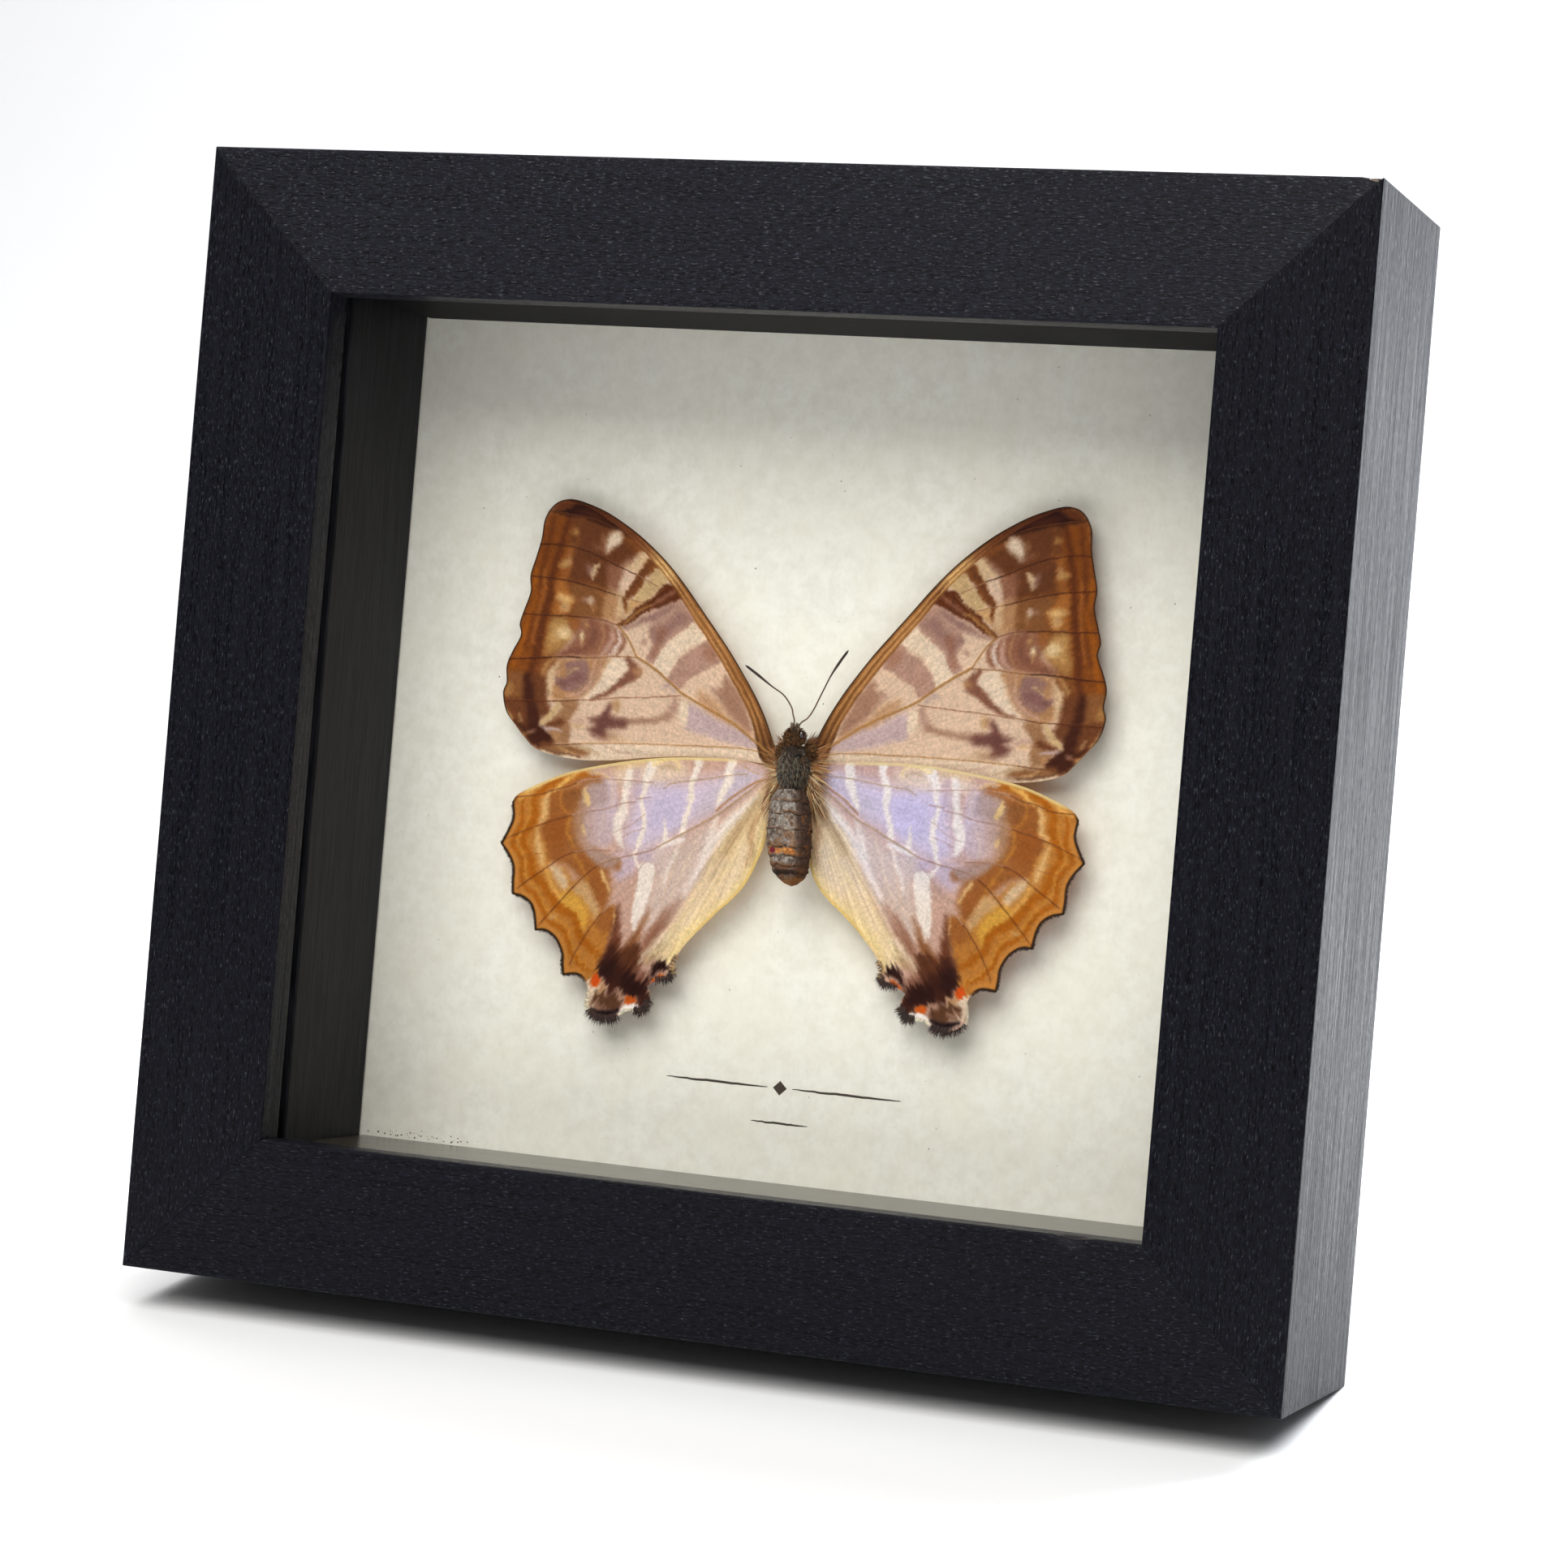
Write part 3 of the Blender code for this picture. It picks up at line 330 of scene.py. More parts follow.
    ("stroke", "fawn", [0.15, 0.45, 0.2], 0.25, 0.7, [(32.7, -0.5), (31, -1), (29, -1.7)]),
    ("stroke", "peat", [0.25, 0.35, 0.2], 0.2, 0.8, [(37.3, -1.5), (35, -1.9), (32, -2.2)]),
    ("stroke", "sand", [0.25, 0.4, 0.2], 0.2, 0.7, [(35.3, -0.9), (34.3, -1.5), (32.7, -2)]),
    ("stroke", "rose", [0.2, 0.25, 0.15], 0.2, 0.8, [(28.7, -0.3), (27.3, -0.9), (24.3, -1.3)]),
    ("stroke", "shell", 0.4, 0.35, 0.5, [(22.7, -0.5), (7.7, -0.2)]),
]
FORE_VEINS = [
    (0.15, "cocoa", [(39.7, 31.4), (38.3, 31.4), (33, 30.8), (29.3, 29.7)]),
    (0.15, "sable", [(40.4, 26.8), (38.3, 26.9), (34.4, 26.5), (30.9, 25.4), (29, 24.6), (25.9, 23.5)]),
    (0.15, "drab", [(25.9, 23.5), (24.3, 22.8), (22.5, 22)]),
    (0.15, "sable", [(41.1, 22.3), (37, 22.1), (33.5, 21.6), (28.7, 20.5)]),
    (0.15, "drab", [(28.7, 20.5), (26.8, 20.1), (24.7, 19.7)]),
    (0.15, "sable", [(42, 17), (38, 17), (36, 17.1), (32, 17.1)]),
    (0.15, "coffee", [(32, 17.1), (30, 16.9), (27.8, 16.3)]),
    (0.1, "walnut", [(42.2, 14.1), (40.7, 14.1), (38.3, 14.2)]),
    (0.2, "sable", [(43.3, 10.6), (40, 10.9), (36, 11.4), (33, 11.5)]),
    (0.15, "bronze", [(33, 11.5), (30, 11.7), (28, 12), (24.7, 12.1)]),
    (0.15, "bark", [(43.3, 4.8), (35, 5.3), (32.7, 5.6)]),
    (0.15, "clay", [(32.7, 5.6), (30.7, 5.8), (27, 6.3), (22.7, 6.7), (17.7, 7.3)]),
    (0.15, "cocoa", [(37.3, -0.9), (35, -0.7), (32, -0.4)]),
    (0.15, "camel", [(32, -0.4), (27.3, 0), (22, 0.3), (11, 0.7), (6, 0.5), (4.3, 0)]),
    (0.25, "camel", [(27.8, 16.2), (26.3, 14.6), (25, 12.5), (24.6, 12.1)]),
    (0.35, "camel", [(24.6, 12.1), (22, 10.7), (19.3, 8.9), (17.3, 7.5), (14, 6), (10, 4.1), (4, 0.3)]),
    (0.15, "bronze", [(27.9, 16.3), (22.7, 20.7), (21.7, 21.7)]),
]
# The rib along the forewing's front edge: its widths and tones at shares of its length
RIB_LINE = [point[:2] for point in FOREWING_OUTLINE[:9]]
RIB_WIDTHS = ([0, 0.1, 0.5, 0.72, 0.85, 1], [2.6, 2.0, 1.7, 1.35, 0.9, 0.3])
RIB_LIGHT = [
    (0, (120, 78, 42)), (0.1, (168, 120, 72)), (0.4, (186, 138, 90)), (0.55, (182, 132, 80)),
    (0.61, (226, 192, 136)), (0.66, (214, 176, 118)), (0.7, (150, 102, 62)), (0.78, (120, 72, 42)),
    (1, (84, 40, 24)),
]
RIB_DARK = [
    (0, (70, 42, 24)), (0.12, (120, 76, 38)), (0.45, (148, 98, 50)), (0.56, (112, 70, 40)),
    (0.6, (170, 124, 72)), (0.66, (160, 112, 66)), (0.72, (112, 66, 38)), (1, (70, 34, 20)),
]
# Where the rows of scales start
FORE_ROOT = (2.0, -1.0)
HIND_ROOT = (3.2, -3.0)
HIND_MARKS = [
    ("area", "lilac", 1.35, 0.9, [(23, -4), (16, -4.3), (6.7, -2.3), (4.7, -3.2), (9.3, -6.7),
        (14.7, -10.7), (19.3, -13.7), (22.7, -14.7), (24.3, -13.3), (23.7, -8.7)]),
    ("area", "shell", 0.8, 0.8, [(26, -3.7), (22.7, -2.5), (16.3, -2), (16, -4), (20.7, -5), (23, -5.3),
        (26, -5.3)]),
    ("area", "periwinkle", 0.85, 0.7, [(19.7, -6.7), (16, -6), (15.3, -8.7), (16.7, -10.7), (20, -11.3),
        (20.7, -9.3)]),
    ("area", "lavender", 0.8, 0.7, [(8.7, -2.7), (6, -2.3), (6.3, -4), (9.7, -7), (13.3, -9.3),
        (12.7, -6)]),
    ("area", "lilac", 0.65, 0.7, [(29.3, -6), (26.3, -5), (25.3, -10), (26, -13.3), (28, -14),
        (28.7, -10)]),
    ("area", "heather", 0.55, 0.6, [(23.4, -3.3), (22.3, -3.7), (22.7, -7), (23, -5.3)]),
    ("area", "periwinkle", 0.55, 0.6, [(21.3, -14.7), (17.3, -13.7), (16.7, -14.7), (17.7, -17.3),
        (19, -16.3), (21.3, -16)]),
    ("area", "cream", 0.85, 1, [(3, -3.7), (3, -7), (3, -11.7), (4, -16), (6.3, -20), (10.7, -23.7),
        (14, -27.3), (15.3, -30), (17.7, -29), (16.7, -25.3), (12, -16), (9.7, -10.7), (7, -7.3),
        (4.3, -4.3)]),
    ("area", "petal", 0.8, 0.9, [(19.3, -14), (16, -13.3), (12.7, -10.7), (10.7, -10), (11.7, -14.7),
        (14, -19.3), (16, -23.3), (19.3, -26), (20, -22.7), (19.1, -18)]),
    ("stroke", "milk", [0.65, 1.35, 1.2, 0.8, 0.45], 0.6, 0.8, [(5, -5.7), (8.3, -9), (11, -12.7),
        (14.7, -20)]),
    ("stroke", "fawn", [0.8, 1, 1.2, 0.8, 0.35], 0.55, 0.8, [(3.9, -5), (6, -8.3), (7.7, -10.7),
        (11, -17.3)]),
    ("stroke", "shell", [1, 1, 1, 0.65], 0.65, 0.6, [(9.3, -14.7), (11, -17.3), (14.3, -24)]),
    ("stroke", "tan", [0.45, 1, 0.8, 0.4], 0.45, 0.6, [(3.9, -7.3), (5.3, -10), (5.1, -12.7), (5.7, -15)]),
    ("stroke", "taupe", [0.2, 0.45, 0.25], 0.25, 0.6, [(4.7, -12), (4.8, -13.7), (5.1, -15)]),
    ("stroke", "straw", [0.85, 1, 1.15, 1.15, 0.85, 0.65], 0.55, 0.8, [(3.5, -9.3), (4.3, -14), (6, -17.7),
        (8.7, -20.7), (12, -23.3), (14, -25.3)]),
    ("stroke", "shell", [1, 1.2, 1.35], 0.75, 0.6, [(6.3, -12.7), (6.7, -15.3), (9.3, -19)]),
    ("stroke", "straw", [0.85, 1.2, 1.15, 0.85], 0.4, 0.9, [(11.3, -23.5), (13, -24.9), (14.5, -26.7),
        (15.5, -28.3)]),
    ("area", "cream", 0.4, 0.9, [(18.7, -26.7), (17.4, -26.1), (16, -24.3), (15.6, -25), (15.8, -27),
        (16.7, -28), (17.7, -27.7)]),
    ("area", "rose", 0.65, 1, [(27.3, -16), (22.7, -15), (21.3, -16.2), (21.9, -21.3), (21.3, -25.7),
        (22.9, -28.5), (23.6, -26), (24, -23.3), (24.7, -21.7), (25.8, -21.3), (25.5, -19.3),
        (26.3, -17.3)]),
    ("area", "periwinkle", 0.65, 0.6, [(26, -15.7), (22, -15), (21.7, -16.7), (24.3, -18.7)]),
    ("area", "fawn", 0.35, 0.95, [(19.9, -29.2), (19.5, -27.3), (18.5, -26.5), (17.3, -26.4), (16.7, -26.7),
        (17.1, -27.7), (18.9, -29.5)]),
    ("stroke", "vanilla", [0.35, 0.45, 0.25], 0.25, 0.7, [(18, -28), (17, -27), (16.1, -25.3)]),
    ("area", "russet", 0.55, 1, [(36.1, -7.3), (34, -6.7), (31.7, -6), (28.7, -4.7), (28, -5.7), (30, -6.3),
        (30.8, -8), (31.7, -10.7), (31.5, -12.7), (30.9, -14), (30, -14.7), (28, -14.7), (25.8, -15.7),
        (24.3, -16.1), (24.5, -17.3), (25.6, -17.3), (25.8, -18), (25.3, -20), (25.7, -22), (26.3, -23.1),
        (27.3, -22.4), (29.7, -19.3), (30.3, -19), (31.3, -18), (32.7, -17.3), (35.5, -17), (36, -14.7),
        (36.7, -13.3), (36.4, -10.7)]),
    ("area", "bronze", 0.55, 0.6, [(33.7, -7.3), (31, -6.7), (31.3, -8.7), (33, -9.3)]),
    ("area", "saddle", 0.6, 0.5, [(36, -11.3), (32, -11), (31.7, -13.7), (34.7, -15)]),
    ("spot", "drab", 1.15, 0.8, (30.6, -10.7), (1.15, 3.35), 10),
    ("area", "ash", 0.65, 0.9, [(30.3, -6.3), (28, -5.3), (27, -6), (26.9, -8.3), (28.7, -9.2), (30, -9.2),
        (30.8, -7.7)]),
    ("area", "haze", 0.55, 0.7, [(30.3, -9.7), (27.3, -9.1), (26, -11.7), (26.3, -14), (29, -14.3),
        (30.1, -12.7)]),
    ("area", "ash", 0.45, 0.8, [(30, -14.7), (27.3, -14.9), (24.7, -16.1), (26, -17.3), (28, -16.7)]),
    ("stroke", "caramel", [0.35, 0.4, 0.35, 0.25], 0.25, 0.8, [(33.6, -6.3), (33.9, -7.7), (33.6, -9.3),
        (32.7, -10.1)]),
    ("stroke", "ochre", [0.25, 0.4, 0.4, 0.25], 0.25, 0.8, [(32.3, -10.3), (32.5, -12), (32.3, -13.3),
        (31.5, -14.7)]),
    ("stroke", "ochre", [0.25, 0.45, 0.45, 0.35], 0.3, 0.7, [(31.3, -15.7), (30, -17.3), (29, -19.3),
        (28.7, -20.7)]),
    ("area", "caramel", 0.4, 1, [(30, -3.5), (32, -6), (34.7, -7), (36, -8), (35.8, -10.3), (36.3, -11.3),
        (36.4, -13.3), (35.5, -14.7), (35, -16.7), (34, -17.5), (32.3, -17.7), (31, -19.3), (30, -19.3),
        (28.3, -21.3), (26.7, -23.3), (26, -22.7), (24.3, -22.7), (24.7, -26), (25.7, -29.7), (26, -31.3),
        (27, -33), (32, -32.7), (36, -26.7), (40, -22), (42.7, -15), (41.7, -8.7), (36, -5.3)]),
    ("stroke", "apricot", [0.55, 0.95, 0.95, 0.45], 0.35, 0.95, [(35.8, -7.5), (36.1, -9), (36.1, -10.7),
        (36.8, -11.7)]),
    ("stroke", "apricot", [0.35, 0.85, 1.15, 0.75], 0.4, 0.95, [(37.1, -12.7), (36.8, -14.3), (36.2, -15.9),
        (35.9, -17.3)]),
    ("area", "buff", 0.45, 1, [(34.7, -17.3), (33.6, -17.5), (32.5, -18.3), (31.7, -19.5), (31.7, -20.5),
        (32.5, -20.7), (34.5, -18.4)]),
    ("area", "sand", 0.4, 1, [(31.1, -20.4), (29.9, -19.5), (28.9, -19.5), (27.8, -21.2), (26.9, -22.8),
        (26.5, -23.8), (27.3, -24.3), (29.3, -21.8), (30.3, -21.4)]),
    ("area", "amber", 0.45, 0.95, [(32.1, -20.8), (30.8, -21.1), (29.3, -22), (28.4, -23.3), (28.2, -25),
        (28.9, -26), (30, -24.7), (32.5, -22.7), (32.8, -21.7)]),
    ("stroke", "gold", [0.55, 0.85, 0.65], 0.35, 0.7, [(35.3, -18), (34.3, -20), (32.9, -21.7)]),
    ("area", "caramel", 0.45, 0.9, [(27.9, -25.3), (25.7, -26), (25.3, -28), (26, -29), (27.5, -28),
        (28.1, -26.7)]),
    ("area", "russet", 0.45, 0.9, [(26.1, -23), (24.7, -22.2), (24, -23.7), (24.9, -25.7), (26, -26),
        (27.1, -24.7)]),
    ("stroke", "toffee", [0.55, 0.75, 0.95, 0.85, 0.75, 0.85, 1, 0.95, 0.85, 1, 1.15, 1.05, 1.15, 1.2, 1,
        1.15, 1.2, 0.65], 0.3, 1, [(30.3, -4.7), (32.7, -4.7), (34.7, -5.5), (37.4, -7.9), (37.7, -9.2),
        (37.5, -10.5), (38.1, -12.2), (38.9, -13.5), (38.9, -14.7), (37.9, -16.2), (37.1, -18.9),
        (35.7, -19.9), (34.3, -21.7), (32.3, -23.4), (30.6, -24.1), (29.8, -25.3), (29.1, -27),
        (26.3, -29.3)]),
    ("stroke", "gold", [0.35, 0.65, 0.55, 0.25], 0.25, 0.95, [(31.7, -4.5), (33.3, -5.5), (35, -7.2)]),
    ("stroke", "cinnamon", [0.4, 0.6, 0.65, 0.4], 0.25, 0.9, [(28.7, -4.7), (30.7, -5.1), (32.3, -5.7),
        (33.5, -6.5)]),
    ("stroke", "toffee", [0.25, 0.45, 0.55, 0.55, 0.6, 0.55, 0.55, 0.6, 0.55, 0.6, 0.6, 0.65, 0.65, 0.6,
        0.65, 0.6, 0.35], 0.2, 0.95, [(39.1, -8.4), (39.5, -9.4), (39.5, -12.2), (40.1, -13.7),
        (40.5, -14.9), (39.5, -16.1), (38.8, -17.7), (38.8, -19.3), (38.2, -20.8), (36.6, -21.7),
        (35.6, -22.9), (34.6, -24.5), (33.5, -25.4), (31.9, -26.2), (30.9, -27.7), (30.3, -29.4),
        (27.5, -31.8)]),
    ("stroke", "ochre", [0.2, 0.3, 0.3, 0.3, 0.35, 0.35, 0.3, 0.3, 0.3, 0.35, 0.4, 0.45, 0.35, 0.35, 0.35,
        0.35, 0.2], 0.15, 0.9, [(38.4, -9.1), (38.3, -10.3), (38.8, -12.1), (39.7, -13.9), (39.5, -15.2),
        (38.5, -16.7), (38.2, -18.8), (37.2, -20.3), (35.9, -21.5), (34.9, -23.1), (33.5, -24.4),
        (32.2, -25.1), (31.2, -26.1), (29.5, -29.4), (27.9, -30.8), (26.7, -31.5)]),
    ("spot", "sand", 0.2, 0.8, (33.5, -24.5), (0.6, 0.25), -25),
    ("stroke", "gold", [0.35, 0.8, 0.75, 0.35], 0.3, 0.8, [(36, -5.4), (37.7, -6.7), (39.1, -8.1),
        (40.1, -8.7)]),
    ("stroke", "petal", [0.2, 0.35, 0.35, 0.3, 0.2], 0.2, 0.9, [(29.3, -4), (27.5, -4.5), (26.5, -5.7),
        (26.3, -7.3), (26.5, -8.8)]),
    ("stroke", "apricot", [0.15, 0.25, 0.2], 0.2, 0.8, [(30.3, -4.2), (28.7, -4.2), (27.3, -4.7)]),
    ("stroke", "petal", [0.15, 0.25, 0.25, 0.2], 0.15, 0.8, [(27.3, -9.3), (27.5, -11), (27.8, -12.3),
        (27.7, -14)]),
    ("stroke", "pearl", [0.8, 1, 1, 0.95, 1.2, 1.55, 1.45, 1.15, 0.35], 0.25, 1, [(23.9, -3.1),
        (24.5, -7.7), (24.6, -9.3), (25.1, -10.7), (24.9, -13), (24.3, -13.9)]),
    ("stroke", "pearl", [1.35, 1.2, 0.95, 0.85, 0.6, 0.65, 0.75, 0.75, 0.75, 0.8, 0.45, 0.4, 0.4], 0.2, 1,
        [(20.4, -2.1), (21.3, -4.3), (21.5, -6), (22, -7.4), (21.3, -10), (21.3, -11.3), (21.7, -12.7),
        (21.9, -14), (22.3, -14.9), (21.9, -16), (21.4, -16.7)]),
    ("stroke", "straw", [0.65, 0.6, 0.45, 0.45, 0.45], 0.25, 0.95, [(20.4, -2.3), (19.3, -1.9), (18, -1.7),
        (16.9, -1.9), (16.7, -2.7)]),
    ("stroke", "wheat", [0.6, 0.85, 0.65], 0.35, 0.7, [(26, -3.3), (24.3, -2.9), (22, -2.4)]),
    ("stroke", "fawn", [0.25, 0.45, 0.35], 0.25, 0.6, [(19.3, -2.8), (18, -2.5), (17.3, -2.9)]),
    ("stroke", "pearl", [1.2, 1, 0.95, 1, 0.95, 0.8, 0.65, 0.85, 0.85], 0.2, 1, [(14, -1.3), (13.9, -2.3),
        (14.7, -5), (14.6, -6.3), (14.7, -7.7), (15.2, -9.3), (15.6, -11.4)]),
    ("stroke", "pearl", [1.35, 1.35, 1.2, 1.05, 0.6], 0.25, 1, [(9.1, -1.4), (9.3, -2.7), (9.4, -4),
        (10.6, -7.1)]),
    ("stroke", "pearl", [0.15, 0.45, 0.85], 0.2, 1, [(18.3, -9.7), (18.2, -11), (18, -12.5)]),
    ("stroke", "milk", [0.65, 0.85, 0.6], 0.3, 0.9, [(18.6, -13.5), (17, -12.9), (15.4, -12.4)]),
    ("stroke", "pearl", [0.35, 0.55, 0.55, 0.35], 0.25, 0.75, [(15.8, -12.7), (16.5, -15), (17.3, -17),
        (17.7, -18.7)]),
    ("stroke", "pearl", [0.45, 0.85, 0.85, 0.55], 0.35, 0.8, [(10.6, -8.8), (11.5, -12), (12.1, -14.3)]),
    ("stroke", "blush", [0.15, 0.3, 0.25, 0.15], 0.2, 0.7, [(16, -14.7), (16.8, -17.3), (17.7, -21.3)]),
    ("stroke", "shell", [0.15, 0.25, 0.25, 0.15], 0.15, 0.7, [(13.3, -10.7), (14.1, -14), (16.7, -20.7)]),
    ("area", "wheat", 0.2, 1, [(30.7, -6.6), (30.3, -6.7), (29.6, -8.3), (29.7, -8.9), (30.2, -8.9),
        (30.8, -7.4)]),
    ("area", "wheat", 0.2, 0.9, [(30.4, -11.6), (30.1, -11.8), (29.9, -12.3), (30, -12.7), (30.3, -12.7),
        (30.5, -12.1)]),
    ("area", "apricot", 0.25, 1, [(27.3, -17.6), (26.7, -17.7), (25.9, -19), (25.4, -20.1), (25.7, -20.3),
        (26.1, -19.5), (26.8, -18.7)]),
    ("area", "pearl", 0.2, 1, [(21.3, -16.4), (19.3, -16.1), (19.2, -18), (19.5, -20.3), (20.1, -22.7),
        (20.7, -24.3), (21.3, -25.7), (21.8, -24.3), (21.8, -22.3), (21.4, -18)]),
    ("stroke", "walnut", [0.35, 0.85, 1.35, 2], 0.45, [0.5, 0.7, 0.9, 1], [(19.3, -22.3), (20.3, -24.7),
        (22.5, -29.3)]),
    ("stroke", "clay", [0.45, 1.15, 1.45, 1.35, 1], 0.55, [0.3, 0.6, 0.85, 1, 1], [(15, -20), (19.2, -27),
        (20.3, -29.7)]),
    ("stroke", "clay", [0.35, 0.55, 0.35], 0.3, 0.6, [(17, -22), (18.3, -24.3), (19.7, -26.7)]),
    ("stroke", "bark", [0.35, 1, 1.65, 2.65], 0.45, [0.7, 0.8, 0.9, 1], [(23.9, -22.1), (23.9, -24.3),
        (24.3, -29.7)]),
    ("stroke", "apricot", [0.15, 0.3, 0.15], 0.15, 0.7, [(24.5, -22.7), (24.3, -23.7), (24.3, -24.7)]),
    ("area", "sable", 0.5, 1, [(26.3, -30.6), (25.6, -29), (24.7, -27.9), (23, -28.2), (21.7, -27.5),
        (20.3, -27.7), (20.4, -30.9), (19.1, -31.5), (18.4, -32.1), (18.9, -33.1), (18.3, -34.3),
        (18.5, -35.2), (19.3, -36), (20.1, -35.7), (20.4, -34.7), (21.9, -34.3), (22.9, -33.8),
        (23.9, -34.3), (24.5, -33.7), (25.9, -31.9)]),
    ("area", "ink", 0.55, 0.9, [(26.1, -30.7), (25, -29.5), (23.7, -29.7), (23.5, -31.3), (24, -32.5),
        (25.3, -32.3)]),
    ("area", "ink", 0.55, 0.9, [(22.8, -31.7), (21.3, -31.4), (19.7, -31.9), (19.1, -33.3), (19.3, -34.3),
        (21.3, -34.3), (22.7, -33.5)]),
    ("area", "cocoa", 0.55, 0.6, [(23.3, -28), (21, -27.3), (20.1, -29), (21.3, -30.7), (23, -29.7)]),
    ("area", "coffee", 0.4, 0.85, [(20.8, -30.5), (19.1, -30.5), (18.9, -31.3), (19.8, -31.7),
        (20.5, -31.3)]),
    ("stroke", "shell", [0.75, 1, 0.85, 0.45], 0.4, 0.85, [(17.1, -25.5), (19.1, -28.1), (20, -29.3)]),
    ("area", "ink", 0.3, 1, [(18.5, -31), (18.1, -29.7), (17.1, -29), (16, -29.2), (15.8, -30.1),
        (16.7, -30.4), (17.7, -31.1), (18.3, -31.7)]),
    ("area", "shell", 0.25, 1, [(28, -33), (26.7, -33.6), (25.8, -33), (24.7, -33.7), (24.5, -35.2),
        (25.3, -36.5), (26.7, -36.9), (27.5, -35.3)]),
    ("area", "tan", 0.3, 0.9, [(25.9, -32.9), (25.1, -33.1), (24.7, -33.9), (25.1, -34.3), (25.9, -33.9)]),
    ("area", "peat", 0.35, 0.95, [(26.3, -34.2), (23.9, -34.3), (22.7, -34.9), (22.3, -35.5), (23, -36.5),
        (25.3, -36.7), (26.5, -36.2), (26.7, -35.2)]),
    ("area", "mauve", 0.3, 0.6, [(26.5, -35.2), (25.5, -35.3), (24.9, -35.9), (25.7, -36.5),
        (26.5, -36.2)]),
    ("area", "dusk", 0.25, 0.8, [(23.3, -33.6), (22.1, -34.3), (22.2, -34.8), (22.9, -34.5)]),
]
TAIL_SPOTS = [
    ("area", "flame", 0.2, 1, [(26.8, -31.9), (26.2, -31.8), (25.8, -32.5), (26, -33.2), (26.4, -33.6),
        (26.9, -33.3), (27.1, -32.6)]),
    ("area", "orange", 0.2, 1, [(21.9, -34.6), (21.3, -34.3), (20.5, -34.5), (20.4, -35.2), (21.1, -35.6),
        (21.8, -35.3)]),
    ("area", "orange", 0.15, 1, [(18.3, -32.1), (17.7, -31.4), (16.9, -30.9), (16.5, -31), (17.9, -32.3)]),
    ("stroke", "milk", [0.35, 0.8, 0.6], 0.15, 1, [(22.5, -36.7), (21.5, -35.9), (19.9, -35.7)]),
    ("stroke", "vanilla", [0.25, 0.55, 0.4], 0.15, 1, [(18.4, -33.9), (18.1, -32.8), (16.5, -32)]),
    ("stroke", "soot", [0.4, 0.85, 0.85, 0.45], 0.25, 1, [(26.5, -36.7), (25.3, -37.1), (23.7, -36.9),
        (22.7, -36.4)]),
    ("stroke", "ink", [0.35, 0.85, 0.65], 0.3, 1, [(18.3, -34.2), (18.6, -35.2), (19.3, -36.1)]),
]
HIND_VEINS = [
    (0.15, "cocoa", [(40.7, -8.5), (37.3, -7.9), (35.3, -7.1), (33, -6.4), (31.7, -5.7)]),
    (0.15, "mauve", [(31.7, -5.7), (29.3, -5.1), (26.7, -4.9), (20.3, -4.9)]),
    (0.15, "fawn", [(18.7, -5.5), (17.3, -4.7), (14, -4.1), (10, -3.2), (6.7, -2.7)]),
    (0.15, "cocoa", [(41.7, -14.5), (39.7, -13.4), (35.7, -11.6), (32, -10.3)]),
    (0.15, "mauve", [(32, -10.3), (30, -9.6), (27.3, -9.1), (24.7, -8.1), (22.7, -7.7)]),
    (0.15, "mauve", [(22.7, -7.3), (20.7, -6.9)]),
    (0.15, "bark", [(39.3, -21.1), (35, -17.7), (32.7, -16), (31.3, -15.4)]),
    (0.15, "dusk", [(31.3, -15.4), (29.3, -14.9), (26, -14.7)]),
    (0.1, "russet", [(39.3, -17), (37.3, -16.3), (36, -15.9)]),
    (0.15, "bark", [(35.8, -26.2), (31.7, -21.1), (29.3, -18.3), (27.8, -17)]),
    (0.15, "drab", [(27.8, -17), (26, -16.1), (20.7, -14.5), (18.7, -13.5)]),
    (0.25, "fawn", [(18.7, -13.5), (12.7, -9.9), (10.7, -8.7), (8.3, -6.7), (4.3, -3.3)]),
    (0.15, "cocoa", [(30.5, -30.8), (29.3, -28.3), (27, -24.3), (26.1, -23.3)]),
    (0.1, "ash", [(26.1, -23.3), (24.3, -20.7), (22.7, -18.7), (19.7, -14.7)]),
    (0.1, "mauve", [(25.3, -12), (23.3, -11), (21.3, -9.3)]),
    (0.1, "mauve", [(24.3, -12.7), (22.7, -11.8), (21.3, -11.3)]),
    (0.3, "tan", [(10.7, -8), (9, -6.3), (7.3, -5), (5.3, -3.7), (3.7, -3.2)]),
    (0.35, "clay", [(3.2, -3.9), (3.9, -6), (4.1, -7.3)]),
    (0.15, "sand", [(7.3, -1.7), (6, -2.3), (5, -2.5)]),
]


# ---------------------------------------------------------------- node materials


def linear(colours):
    """sRGB colours of 0 to 255, one or a list of them, as linear values with alpha."""
    share = np.clip(np.asarray(colours, float) / 255, 0, 1)
    values = np.ones((*share.shape[:-1], 4), np.float32)
    values[..., :3] = np.where(share <= 0.04045, share / 12.92, ((share + 0.055) / 1.055) ** 2.4)
    return values


def mix_shaders(tree, share, first, second, output):
    """Sends a mix of two shaders to an output node; the share is a socket or a number."""
    mix = tree.nodes.new("ShaderNodeMixShader")
    if isinstance(share, bpy.types.NodeSocket):
        tree.links.new(share, mix.inputs[0])
    else:
        mix.inputs[0].default_value = share
    tree.links.new(first, mix.inputs[1])
    tree.links.new(second, mix.inputs[2])
    tree.links.new(mix.outputs[0], tree.nodes[output].inputs["Surface"])


